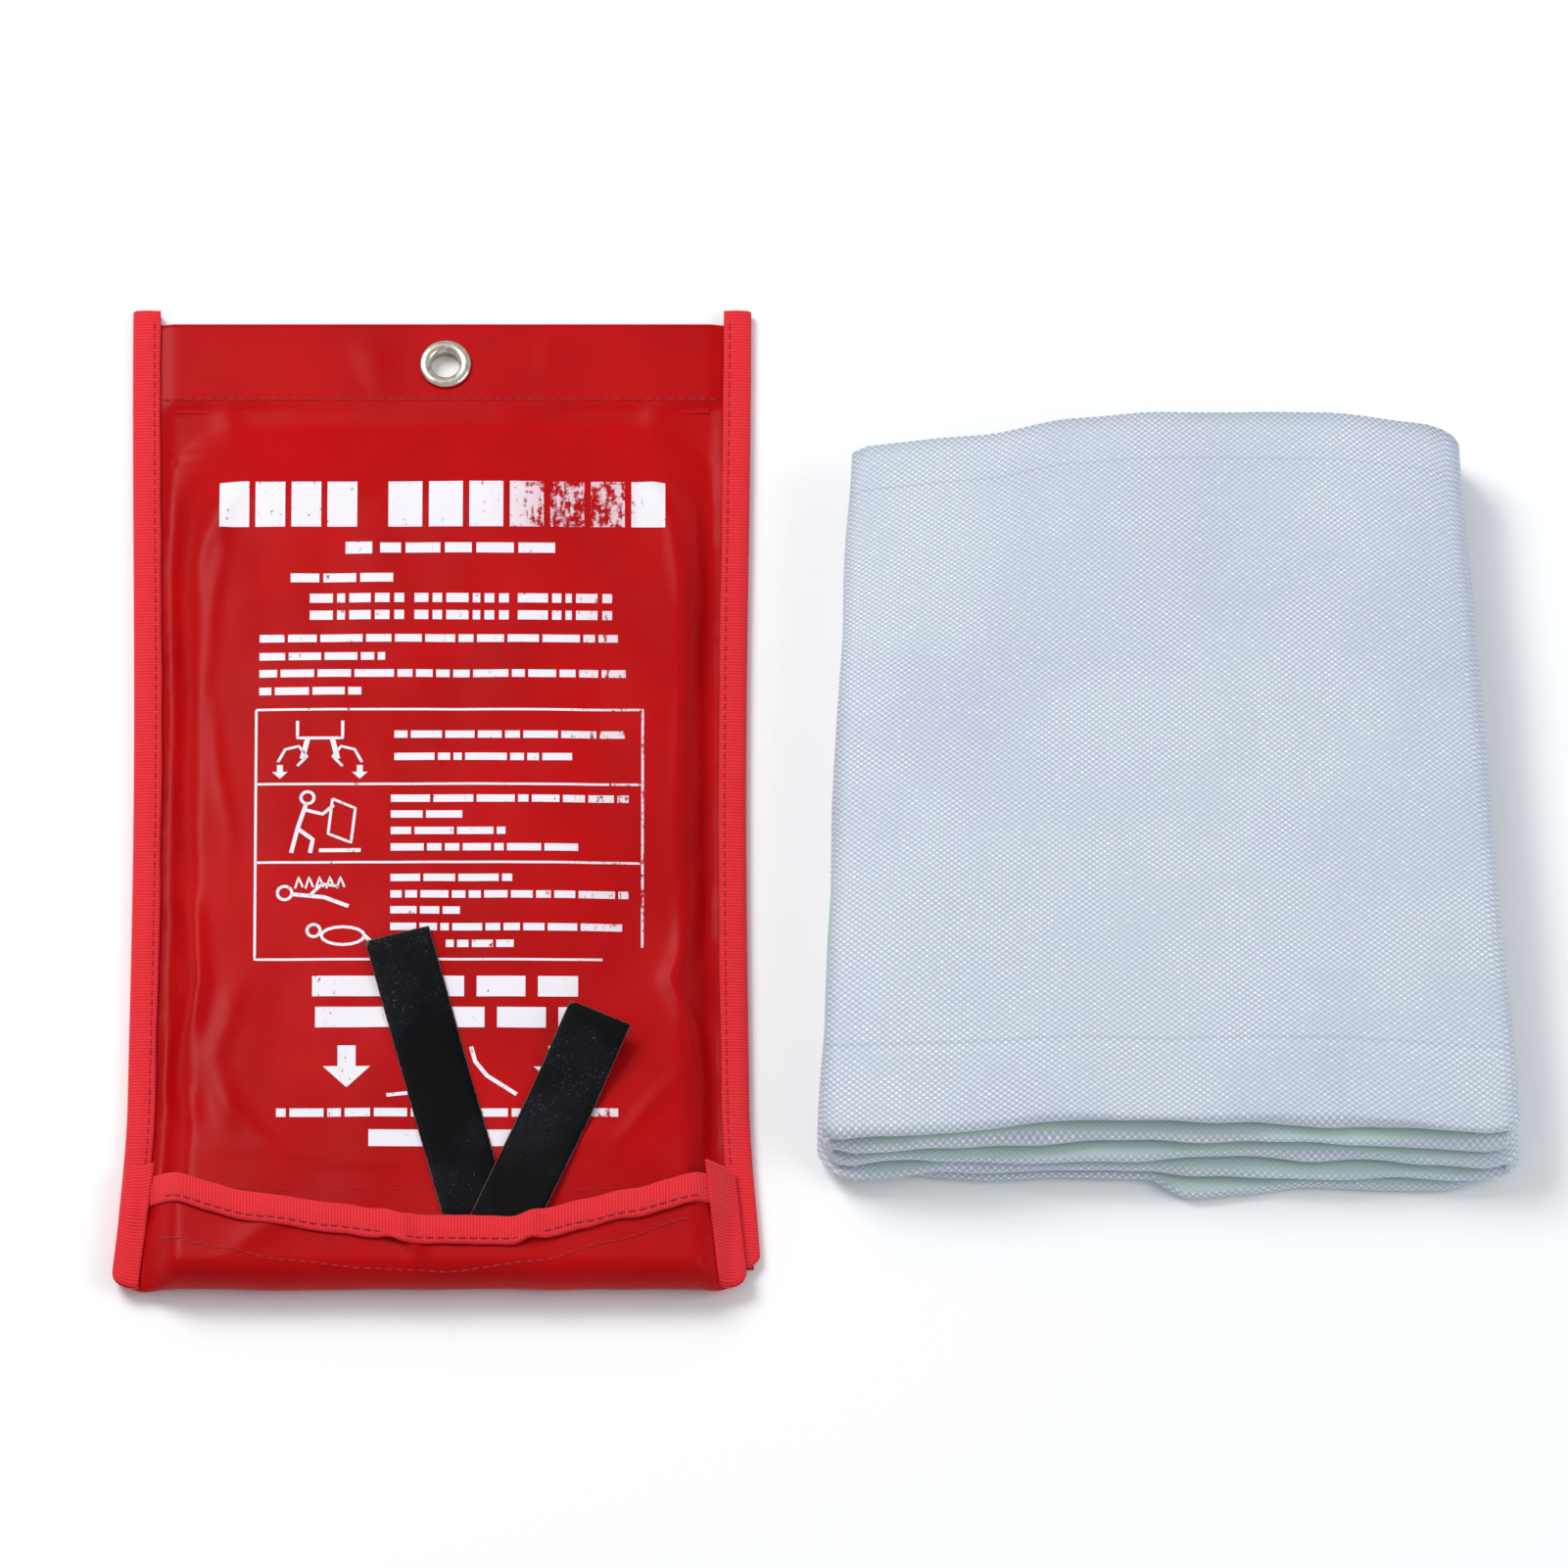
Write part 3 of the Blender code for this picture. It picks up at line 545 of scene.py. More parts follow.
# Eyelet ---
# Nickel-plated brass: a rolled rim over the header, a barrel through it and a ring at the back, over
# which the barrel's end is split into petals and rolled. The rim is polished and lightly scratched.
def nickel_paint(wire):
    place = wire.object_place()
    scratches = wire.node("TexNoise", {}, {"Vector": place, "Scale": 1500.0, "Detail": 4.0,
                                           "Distortion": 3.0})
    tarnish = wire.cloud(place, 420.0)
    colour = tarnish.between(0.4, 0.75).blend((0.80, 0.74, 0.64, 1.0), (0.50, 0.42, 0.33, 1.0))
    rough = 0.16 + scratches.between(0.55, 0.8) * 0.2 + tarnish * 0.1
    return {"Base Color": colour, "Roughness": rough, "Normal": wire.relief(scratches, 0.02 * mm, 0.4)}


nickel = material("nickel", nickel_paint, {"Metallic": 1.0})


def turned(name, profile, node, steps=96):
    """A closed profile of (radius, height) spun about the eyelet's axis."""
    shape = bmesh.new()
    ring = [shape.verts.new((r, 0.0, z)) for r, z in profile]
    edges = [shape.edges.new((a, b)) for a, b in zip(ring, ring[1:] + ring[:1])]
    bmesh.ops.spin(shape, geom=ring + edges, axis=(0, 0, 1), cent=(0, 0, 0), angle=2 * math.pi,
                   steps=steps, use_merge=True)
    bmesh.ops.remove_doubles(shape, verts=shape.verts, dist=0.001 * mm)
    bmesh.ops.recalc_face_normals(shape, faces=shape.faces)
    bmesh.ops.translate(shape, verts=shape.verts, vec=(EYELET.x, EYELET.y, 0.0))
    piece = finished(name, shape, nickel, "pouch")
    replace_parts(piece, node)
    return piece


HOLE = 4.25 * mm
RIM = 7.5 * mm
RIM_EDGE = 0.35 * mm
RIM_CROWN = 1.05 * mm
rim_under = HEADER_LEVEL + WALL + GAP - 0.15 * mm
crown = [math.pi * step / 14 for step in range(15)]
rim_out = [(0.5 * (RIM + HOLE) - 0.5 * (RIM - HOLE) * math.cos(a),
            rim_under + RIM_EDGE + RIM_CROWN * math.sin(a) ** 0.8) for a in crown]
barrel_out = [(RIM - 0.25 * mm, rim_under), (HOLE + 0.8 * mm, rim_under), (HOLE + 0.7 * mm, 0.6 * mm),
              (HOLE + 1.9 * mm, 0.5 * mm), (HOLE + 2.2 * mm, 0.25 * mm), (HOLE + 1.8 * mm, 0.06 * mm),
              (HOLE + 0.6 * mm, 0.06 * mm), (HOLE, 0.5 * mm)]
turned("eyelet_rim", rim_out + barrel_out, "eyelet")
ring_low, ring_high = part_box("eyelet_washer")
RING_EDGE = 0.1 * mm
turned("eyelet_ring",
       [(RIM, ring_high.z - RING_EDGE), (RIM - RING_EDGE, ring_high.z), (BARREL, ring_high.z),
        (BARREL, ring_low.z), (RIM - RING_EDGE, ring_low.z), (RIM, ring_low.z + RING_EDGE)],
       "eyelet_washer")


# Print ---
# White screen-printed ink on the front: a title band, lines of instructions and three small drawings.
# Every word is a plain block. The ink has cracked and rubbed off towards the right.
def ink_paint(wire):
    place = wire.object_place()
    x, y, _ = wire.axes(place)
    u = x - POUCH_X
    title = y.between(79.0 * mm, 80.0 * mm)
    worn = u.between(0.012, 0.034) * (1.0 - u.between(0.050, 0.058)) * title
    worn = worn + u.between(0.030, 0.056) * (1.0 - title) * 0.55
    flakes = wire.cloud(place, 420.0, 6.0, 0.75)
    drawn_out = wire.node("Mapping", {}, {0: place, 3: (1.0, 0.16, 1.0)})
    streaks = wire.node("TexNoise", {}, {"Vector": drawn_out, "Scale": 700.0, "Detail": 4.0})
    cracks = flakes * 0.6 + streaks * 0.4
    left = cracks.between(0.34, 0.40)
    kept = (cracks - worn * 0.14).between(0.33, 0.42)
    tint = worn.blend((0.80, 0.76, 0.82, 1.0), (0.72, 0.48, 0.54, 1.0))
    return {"Base Color": tint, "Alpha": kept * (0.45 + left * 0.55),
            "Roughness": 0.42 + flakes * 0.15, "Normal": wire.relief(flakes, 0.02 * mm)}


ink = material("white_ink", ink_paint)
INK_LIFT = 0.10 * mm
INK_STEP = 1.3
print_shape = bmesh.new()


def printed(u, y):
    """A point of ink on the front, from millimetres."""
    return Vector((POUCH_X + u * mm, y * mm, front_level(u * mm, y * mm) + INK_LIFT))


def bar(u0, y0, u1, y1, foot=1.0):
    """A printed block between two corners, in millimetres; foot narrows its lower edge."""
    across, up = max(1, round((u1 - u0) / INK_STEP)), max(1, round((y1 - y0) / INK_STEP))
    grid = bmesh.ops.create_grid(print_shape, x_segments=across, y_segments=up, size=0.5)
    for vert in grid["verts"]:
        t = vert.co.y + 0.5
        u = 0.5 * (u0 + u1) + vert.co.x * (u1 - u0) * (foot + (1.0 - foot) * t)
        vert.co = printed(u, y0 + t * (y1 - y0))


def stroke(points, width=0.9):
    """A printed line of even width through points in millimetres."""
    path = []
    for (a, b), (c, d) in zip(points, points[1:]):
        count = max(1, round(math.hypot(c - a, d - b) / INK_STEP))
        path += [(a + (c - a) * k / count, b + (d - b) * k / count) for k in range(count)]
    path.append(points[-1])
    steps = len(path) - 1
    grid = bmesh.ops.create_grid(print_shape, x_segments=steps, y_segments=1, size=0.5)
    for vert in grid["verts"]:
        index = round((vert.co.x + 0.5) * steps)
        (a, b), (c, d) = path[max(index - 1, 0)], path[min(index + 1, steps)]
        side = vert.co.y * width / (math.hypot(c - a, d - b) or 1.0)
        vert.co = printed(path[index][0] - (d - b) * side, path[index][1] + (c - a) * side)


def words(left, right, low, high, seed, longest=11.0):
    """A line of print: blocks as long as words, with gaps between them."""
    pick = random.Random(seed)
    at = left
    gap = 0.42 * (high - low)
    while at < right - 1.5:
        end = min(at + pick.uniform(0.18, 1.0) * longest, right)
        bar(at, low, end, high)
        at = end + gap


def arrow(u, y, scale=1.0):
    """A fat arrow that points down, its tip at the given place."""
    bar(u - 2.6 * scale, y + 6.5 * scale, u + 2.6 * scale, y + 13.0 * scale)
    bar(u - 6.8 * scale, y, u + 6.8 * scale, y + 6.5 * scale, 0.02)


def ring(u, y, radius, width=0.8, squeeze=1.0):
    stroke([(u + radius * math.cos(a * math.pi / 8), y + squeeze * radius * math.sin(a * math.pi / 8))
            for a in range(17)], width)


for k in range(4):
    bar(-64.0 + 10.4 * k, 82.5, -55.4 + 10.4 * k, 97.4)
for k in range(7):
    bar(-15.2 + 11.7 * k, 82.5, -5.4 + 11.7 * k, 97.4)
bar(-27.5, 73.9, -19.8, 77.7)
words(-17.5, 33.0, 74.2, 77.4, 3, 16.0)
words(-43.3, -13.7, 64.9, 67.7, 5, 12.0)
for row_y in (58.4, 53.0):
    for column_u in (-37.7, -7.5, 22.3):
        words(column_u, column_u + 23.0, row_y, row_y + 2.9, int(column_u), 9.0)
        bar(column_u + 24.4, row_y, column_u + 27.2, row_y + 2.9)
for left, right, low, seed in ((-52.1, 52.7, 45.9, 11), (-52.1, -15.9, 40.2, 12), (-52.1, 55.8, 34.8, 13),
                               (-52.1, -22.7, 29.2, 14)):
    words(left, right, low, low + 2.4, seed, 13.0)
for points in (((-52.9, 24.6), (58.4, 24.6), (58.4, -50.0)), ((-52.9, 24.6), (-52.9, -54.0), (47.0, -54.0)),
               ((-52.9, 1.1), (58.4, 1.1)), ((-52.9, -23.6), (58.4, -23.6))):
    stroke(points, 0.75)
for left, right, low, seed in ((-13.1, 53.6, 15.6, 21), (-13.1, 40.5, 8.6, 22), (-14.0, 54.4, -4.6, 23),
                               (-14.0, 8.0, -9.6, 24), (-14.0, 19.0, -14.8, 25), (-14.0, 40.0, -20.0, 26),
                               (-14.0, 21.0, -29.6, 27), (-14.0, 54.4, -34.8, 28), (-14.0, 6.0, -39.8, 29),
                               (-14.0, 53.0, -45.0, 30), (2.0, 21.5, -50.2, 31)):
    words(left, right, low, low + 2.3, seed, 12.0)
stroke(((-41.0, 21.0), (-41.0, 15.6), (-28.0, 15.6), (-28.0, 21.0)))
stroke(((-38.0, 15.6), (-39.6, 9.0)), 1.5)
stroke(((-31.0, 15.6), (-29.4, 9.0)), 1.5)
stroke(((-46.6, 8.0), (-44.5, 12.0), (-40.6, 13.0), (-38.2, 9.8), (-41.0, 6.8)), 0.8)
stroke(((-22.4, 8.0), (-24.5, 12.0), (-28.4, 13.0), (-30.8, 9.8), (-28.0, 6.8)), 0.8)
arrow(-46.0, 2.8, 0.33)
arrow(-23.0, 2.8, 0.33)
ring(-38.0, -3.2, 1.9, 0.9)
stroke(((-38.4, -5.2), (-40.8, -13.0), (-42.6, -20.6)), 1.2)
stroke(((-40.8, -13.0), (-36.4, -16.4), (-37.2, -20.6)), 1.2)
stroke(((-38.8, -7.0), (-33.6, -8.4), (-30.4, -5.6)), 1.0)
stroke(((-30.8, -3.6), (-24.2, -6.6), (-25.4, -17.4), (-32.0, -14.6), (-30.8, -3.6)), 0.8)
stroke(((-34.6, -19.8), (-22.6, -19.8)), 1.2)
ring(-44.4, -33.2, 2.1, 0.9)
stroke(((-42.2, -33.6), (-33.0, -34.6), (-26.0, -37.4)), 1.2)
stroke(((-37.4, -34.2), (-33.6, -30.4), (-28.8, -31.2)), 0.9)
for k in range(5):
    stroke(((-41.4 + 3.0 * k, -31.8), (-40.4 + 3.0 * k, -28.2), (-39.2 + 3.0 * k, -31.4)), 0.6)
ring(-36.0, -45.0, 1.9, 0.9)
ring(-27.6, -46.6, 6.2, 0.9, 0.45)
stroke(((-21.4, -46.6), (-18.6, -49.4)), 1.2)
for left, right, low, seed in ((-36.3, 40.0, -65.6, 41), (-35.4, 39.4, -75.3, 42)):
    pick = random.Random(seed)
    at = left
    while at < right - 4.0:
        end = min(at + pick.choice((14.0, 20.0, 31.0)), right)
        bar(at, low, end, low + 6.4)
        at = end + 3.6
arrow(-26.3, -94.0)
arrow(34.2, -94.0)
stroke(((-9.0, -93.0), (-3.0, -88.0), (1.5, -84.5), (3.0, -81.4)), 1.2)
stroke(((-14.8, -96.6), (-6.0, -95.6), (1.0, -93.4), (3.4, -90.0), (0.6, -87.4)), 1.1)
stroke(((9.4, -81.4), (10.6, -86.0), (14.0, -90.4), (22.5, -96.2)), 1.2)
words(-46.4, 53.0, -103.2, -100.6, 43, 13.0)
bar(-19.9, -112.4, -4.0, -107.2)
bar(-1.6, -112.4, 4.6, -107.2)
bar(7.0, -112.4, 26.7, -107.2)
finished("front_print", print_shape, ink, "pouch")


# Packed blanket ---
# One square metre of woven glass fibre inside the pouch: pleated into five plies, then folded to and
# fro seven times. Its tapes are bar-tacked to the ply nearest the mouth with black thread.
def glass_paint(wire):
    """Plain weave of flat yarns, with painted glints on the crests, painted sheen in soft patches and the
    coating's pale green painted as shade within the folds.
    """
    along_cloth, across_cloth, _ = wire.axes(wire.cloth_place())
    place = wire.cloth_place()
    pull = wire.cloud(wire.object_place(), 60.0) * 1.4
    check = along_cloth.wave(1.75 * mm, pull) * across_cloth.wave(2.1 * mm, pull) * 0.5 + 0.5
    dash = check.between(0.55, 0.95)
    strands = wire.cloud(place, 5200.0, 2.0, 0.7)
    glint = wire.node("TexVoronoi", {}, {"Vector": place, "Scale": 1150.0}, 1)
    spark = wire.node("SeparateXYZ", {}, {0: glint})
    sparkle = spark.between(0.80, 0.92)
    soft = wire.cloud(wire.object_place(), 14.0)
    # Pale green painted as shade where the folds' under and inner faces lie, read from a vertex attribute;
    # it is the coating's colour.
    mint_fold_shade = wire.node("Attribute", {"attribute_name": "mint_fold_shade"}, {}, 2)
    # Painted sheen: the yarn's base tone drifts between lavender and green in large soft patches.
    sheen = soft.between(0.35, 0.65).blend((0.39, 0.44, 0.59, 1.0), (0.43, 0.51, 0.58, 1.0))
    yarn = check.between(0.15, 0.70).blend(sheen, (0.57, 0.61, 0.71, 1.0))
    glint_zone = wire.cloud(wire.object_place(), 24.0, 2.0).between(0.40, 0.62)
    # Painted highlights: the yarn crests are painted near white, more so in soft patches and at scattered
    # glints.
    lit = (dash * (0.22 + glint_zone * 0.45 + sparkle * 0.5)).blend(yarn, (0.97, 0.98, 1.0, 1.0))
    colour = (mint_fold_shade * 0.85).blend(lit, (0.47, 0.60, 0.57, 1.0))
    far_crease = 1.0 - (along_cloth - 0.0165).size().between(0.0004, 0.0016)
    near_crease = 1.0 - (along_cloth - 0.208).size().between(0.0004, 0.0020)
    height = check + strands * 0.5 - (far_crease + near_crease) * 1.6
    return {"Base Color": colour, "Roughness": 0.50 - sparkle * dash * 0.28 + strands * 0.12,
            "Normal": wire.relief(height * (1.0 - mint_fold_shade * 0.7), 0.22 * mm, 0.8)}


glass = material("glass_cloth", glass_paint, {"Specular IOR Level": 0.55})


def folded(steps, count):
    """A path to and fro: (side, reach past it, offset, normal out and up, stage) at each point."""
    path = []
    for index, (side, offset) in enumerate(steps):
        up = 1.0 if index % 2 == 0 else -1.0
        path += [(side * (1.0 - 2.0 * k / count), 0.0, offset, 0.0, up, index) for k in range(count + 1)]
        if index + 1 < len(steps):
            half = 0.5 * (steps[index + 1][1] - offset)
            for k in range(1, 8):
                turn = math.pi * (k / 8 - 0.5)
                path.append((-side, abs(half) * math.cos(turn), offset + half + half * math.sin(turn),
                             -up * math.cos(turn), -up * math.sin(turn), index + k / 8))
    return path


def folded_cloth(name, up_path, over_path, place, look):
    """A sheet folded twice: up_path pleats it along y, over_path folds the pleats across x."""
    shape = bmesh.new()
    bmesh.ops.create_grid(shape, x_segments=len(over_path) - 1, y_segments=len(up_path) - 1, size=0.5)
    shape.verts.ensure_lookup_table()
    uv = shape.loops.layers.uv.new("cloth")
    mint_fold_shade = shape.verts.layers.float.new("mint_fold_shade")
    weight = shape.verts.layers.float.new("opened")
    spots = {}
    for vert in shape.verts:
        i = round((vert.co.x + 0.5) * (len(over_path) - 1))
        j = round((vert.co.y + 0.5) * (len(up_path) - 1))
        spots[vert.index] = (i, j)
    metre = {}
    for vert in shape.verts:
        i, j = spots[vert.index]
        vert.co, vert[mint_fold_shade], vert[weight] = place(over_path[i], up_path[j])
        metre[(i, j)] = vert.co.copy()
    run_i, run_j = [0.0], [0.0]
    neutral = [place(over, (0.0, 0.0, 0.0, 0.0, 1.0, 2.0))[0] for over in over_path]
    for first, last in zip(neutral, neutral[1:]):
        run_i.append(run_i[-1] + (last - first).length)
    for j in range(1, len(up_path)):
        run_j.append(run_j[-1] + (metre[(5, j)] - metre[(5, j - 1)]).length)
    for face in shape.faces:
        for loop in face.loops:
            i, j = spots[loop.vert.index]
            loop[uv].uv = (run_j[j], run_i[i])
    return finished(name, shape, look)


PACK_STRIPS = 7
PACK_PITCH = (pack_high.z - pack_low.z) / PACK_STRIPS
PACK_PLY = (PACK_PITCH - 0.18 * mm) / 5
pack_up = folded([(1 if k % 2 == 0 else -1, (k - 2) * PACK_PLY) for k in range(5)], 8)
pack_over = folded([(1 if k % 2 == 0 else -1, k * PACK_PITCH) for k in range(PACK_STRIPS)], 8)


def pack_place(over, up):
    half_x = 0.5 * (pack_high.x - pack_low.x) - PACK_PITCH
    half_y = 0.5 * (pack_high.y - pack_low.y) - PACK_PLY
    side, reach, rise, out, lift, _ = over
    back, up_reach, lean, _, _, _ = up
    squeeze = 1.0 - 0.3 * smooth((back - 0.6) / 0.4)
    x = 0.5 * (pack_low.x + pack_high.x) + side * half_x + math.copysign(reach + out * lean, side)
    y = 0.5 * (pack_low.y + pack_high.y) + back * half_y + math.copysign(up_reach, back)
    return Vector((x, y, pack_low.z + squeeze * (0.5 * PACK_PITCH + rise + lift * lean))), 0.0, 0.0


packed = folded_cloth("packed_cloth", pack_up, pack_over, pack_place, glass)
thicken(packed, 0.12 * mm, 0.0)
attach(packed, "packed_blanket")
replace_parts(packed, "packed_blanket")


# Pull tapes ---
# Black polyester webbing, 19 mm wide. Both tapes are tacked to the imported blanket, come out round the
# mouth's hem and lie up over the front in a V, the right one on top. Their cut edges have frayed.
def webbing_paint(wire):
    """Fine twill with a slight blue sheen painted into its colour in soft patches; red and grey fibres
    stick out along the edges.
    """
    run, across, _ = wire.axes(wire.cloth_place())
    place = wire.object_place()
    twill = (run + across).wave(0.8 * mm) * 0.5 + 0.5
    lint = wire.cloud(place, 1500.0, 3.0, 0.7).between(0.61, 0.70)
    ends = wire.node("Attribute", {"attribute_name": "edge"}, {}, 2)
    fray = (ends + wire.cloud(place, 1300.0, 3.0) * 0.5).between(1.02, 1.22)
    dye = wire.cloud(place, 300.0).between(0.45, 0.6)
    # Painted sheen: soft patches where the twill's crests are painted a lighter blue-grey; the grey lint,
    # real fibre, shows only in them.
    sheen = wire.cloud(place, 34.0).between(0.42, 0.62)
    dull = (0.0016, 0.0017, 0.0022, 1.0)
    yarn = twill.blend(dull, sheen.blend((0.0034, 0.0036, 0.0048, 1.0), (0.0110, 0.0120, 0.0170, 1.0)))
    lint_and_sheen = (lint * sheen * 0.6).blend(yarn, (0.20, 0.20, 0.22, 1.0))
    fibre = dye.blend((0.16, 0.10, 0.09, 1.0), (0.30, 0.05, 0.05, 1.0))
    return {"Base Color": (fray * 0.8).blend(lint_and_sheen, fibre), "Roughness": 0.44 + lint * 0.3 + fray * 0.3,
            "Normal": wire.relief(twill + lint * 1.5 + fray * 1.5, 0.10 * mm, 0.7)}


webbing = material("black_webbing", webbing_paint, {"Specular IOR Level": 0.06})
TAPE_WIDTH = 19.0 * mm
TAPE = 0.5 * mm
TAPE_X = 14.5 * mm


def laid_tape(name, route, frayed):
    """A flat tape along (u, y, z, turn) points, turn being the direction its width lies in."""
    def place(s, t):
        spot = round(t * (len(route) - 1))
        u, y, z, turn = route[spot]
        off = (s - 0.5) * TAPE_WIDTH
        cup = 0.35 * mm * (abs(2.0 * s - 1.0) ** 3) * (1.0 if frayed and spot > 30 else 0.0)
        return Vector((POUCH_X + u + off * math.cos(turn), y + off * math.sin(turn), z - cup))
    tape = cloth(name, 12, len(route) - 1, place, webbing, None, lambda s, t: (t * 0.12, s * TAPE_WIDTH))
    edge = tape.data.attributes.new("edge", "FLOAT", "POINT")
    for index, vert in enumerate(tape.data.vertices):
        s, t = (index % 13) / 12.0, (index // 13) / (len(route) - 1.0)
        edge.data[index].value = 1.0 if s in (0.0, 1.0) or (frayed and t == 1.0) else 0.0
    return settled(thicken(tape, TAPE, 0.0))


INNER_END = MOUTH_Y + 50.0 * mm
TURN_Y = MOUTH_Y - GAP
for label, slope, tail_lift in (("left", -0.266, 0.9 * mm), ("right", 0.438, 4.2 * mm)):
    root_low, root_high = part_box(f"{label}_tape_root")
    tail_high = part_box(f"{label}_tape")[1]
    inner_z, outer_z = root_low.z + 0.5 * TAPE, root_high.z - 0.5 * TAPE
    turn = -math.atan(slope)
    centre, radius = 0.5 * (inner_z + outer_z), 0.5 * (outer_z - inner_z)
    inner = [(TAPE_X, TURN_Y + (INNER_END - TURN_Y) * k / 16, inner_z, 0.0) for k in range(17)]
    leg = laid_tape(f"{label}_tape_inner_leg", inner, False)
    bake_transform(leg)
    route = [(TAPE_X, TURN_Y - radius * math.cos(math.pi * (k / 10 - 0.5)),
              centre + radius * math.sin(math.pi * (k / 10 - 0.5)), 0.0) for k in range(11)]
    for k in range(1, 61):
        y = TURN_Y + (tail_high.y - TURN_Y) * k / 60
        u = TAPE_X + slope * (y - MOUTH_Y)
        share = k / 60
        under = max(front_level(u + off * 9 * mm, y) for off in (-1, 0, 1)) + 0.55 * mm
        over = outer_z + (0.2 * mm if label == "left" else 0.1 * mm)
        bend = 0.35 * mm * math.sin(9.0 * share) * smooth((share - 0.3) / 0.3)
        route.append((u, y, max(under, over) + bend + tail_lift * smooth((share - 0.55) / 0.45) ** 2,
                      turn * smooth(share / 0.2)))
    tape = laid_tape(f"{label}_pull_tape", route, True)
    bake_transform(tape)
    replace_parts(tape, f"{label}_tape", f"{label}_tape_root")


def tack_paint(wire):
    x, y, _ = wire.axes(wire.object_place())
    twist = (x - y).wave(0.4 * mm) * 0.5 + 0.5
    return {"Base Color": twist.blend((0.006, 0.006, 0.008, 1.0), (0.03, 0.03, 0.034, 1.0)),
            "Normal": wire.relief(twist, 0.05 * mm)}


tack_thread = material("black_thread", tack_paint, {"Roughness": 0.6})
for label in ("upper", "lower"):
    low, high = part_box(f"tape_bar_tack_{label}")
    row = [Vector((x, 0.5 * (low.y + high.y), high.z)) for x in (low.x, high.x)]
    tack = stitches(f"bar_tack_{label}", row, "packed_blanket", f"tape_bar_tack_{label}", tack_thread,
                    1.5 * mm, 1.4 * mm)


# Bottom fold and closing flap ---
# The back's vinyl turns up round the bottom and closes the mouth as a flap. Its lip is bound with the
# same grosgrain and sags between its ends; it is pinched where it presses on the tapes.
FOLD_Y = -148.0 * mm
FOLD_REACH = 6.2 * mm
FLAP_EDGE = 5.3 * mm
FLAP_LEVEL = 15.26 * mm
END_WIDTH = 8.0 * mm
FLAP_END = {-1: 89.7 * mm, 1: 85.0 * mm}
END_SPREAD = 3.3 * mm
LIP = ((-93.0, -117.0), (-84.0, -120.0), (-51.0, -128.6), (-30.0, -131.6), (-16.0, -133.4), (-10.0, -135.2),
       (6.0, -135.4), (22.0, -135.6), (29.0, -133.6), (42.0, -130.4), (54.0, -127.4), (75.0, -122.0),
       (92.0, -117.4))


def lip_y(u):
    return follow(LIP, u / mm) * mm


def flap_wrinkle(u, y):
    """Pinch folds under the middle of the lip and slow waves along the flap."""
    rise = 0.35 * waver(u / 22.0, y / 12.0, 5.5, mm)
    at, up = u / mm, y / mm + 141.0
    rise += 1.1 * bell((at + 9.0 + up * 0.5) / 2.6, (up + 2.0) / 7.0)
    rise -= 0.5 * bell((at + 3.0) / 3.5, up / 6.0)
    rise += 0.6 * bell((at - 27.0) / 4.0, (up - 2.0) / 6.0)
    rise += 0.5 * bell((at + 52.0 - up) / 5.0, up / 8.0)
    return rise * mm


def flap_level(u, y=FOLD_Y):
    edge = half_width(FOLD_Y) - BINDING_WIDTH - GAP + 1.2 * mm - abs(u)
    ends = smooth(edge / SHOULDER)
    return FLAP_EDGE + (FLAP_LEVEL - FLAP_EDGE) * ends + max(flap_wrinkle(u, y), -0.1 * mm) * ends


def flap_reach(y, side):
    """Pouch centre to the flap's end on that side: it spreads towards the fold."""
    return side * (FLAP_END[side] + END_SPREAD * (LIP[0][1] * mm - y) / (31.0 * mm))


def fold_height(u, reach):
    """Height of the fold's upper half where it is that far in front of the fold line."""
    low = EDGE_LEVEL - 1.0 * mm - 1.2 * mm * shoulder(u, FOLD_Y)
    top = flap_level(u) + 0.5 * WALL
    return 0.5 * (low + top) + 0.5 * (top - low) * math.sqrt(max(1.0 - (reach / (6.3 * mm)) ** 2, 0.0))


def flap_place(s, t):
    """Under the pouch's bottom, round the fold, then up to the lip."""
    centre = 2.0 * s - 1.0
    side = 1 if centre > 0 else -1
    end = abs(flap_reach(FOLD_Y, side)) - (0.8 * mm if t < 0.4 else 1.6 * mm)
    u = centre * end
    if t < 0.4:
        turn = math.pi * (t / 0.4 - 0.5)
        low = back_place(0.5 + 0.5 * u / half_width(MOUTH_Y), 0.0).z + 0.25 * mm
        top = flap_level(u) + 0.5 * WALL
        corner = smooth((end - abs(u)) / (9 * mm)) ** 0.5
        lump = 0.5 * mm * waver(u / (16 * mm), t * 3.0, 0.7)
        reach = (FOLD_REACH + lump) * (0.25 + 0.75 * corner) * math.cos(turn)
        return Vector((POUCH_X + u, FOLD_Y - reach, 0.5 * (low + top) + 0.5 * (top - low) * math.sin(turn)))
    share = (t - 0.4) / 0.6
    y = FOLD_Y + share * (lip_y(u) - 1.5 * mm - FOLD_Y)
    u *= abs(flap_reach(y, side)) / abs(flap_reach(FOLD_Y, side))
    return Vector((POUCH_X + u, y, flap_level(u, y) + 0.5 * WALL))


def hinged(piece, shares):
    """Bake a piece's transform into its mesh; it is not bent, and shares is not used."""
    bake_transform(piece)


FLAP_ACROSS = 150
FLAP_UP = 50
flap = cloth("flap", FLAP_ACROSS, FLAP_UP, flap_place, vinyl, None)
flap_turn = flap.data.attributes.new("turn", "FLOAT", "POINT")
for index, item in enumerate(flap_turn.data):
    item.value = smooth((index // (FLAP_ACROSS + 1)) / FLAP_UP / 0.4)
settled(thicken(flap, WALL, 0.0))
hinged(flap, [item.value for item in flap.data.attributes["turn"].data])
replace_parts(flap, "bottom_fold", "flap_panel")


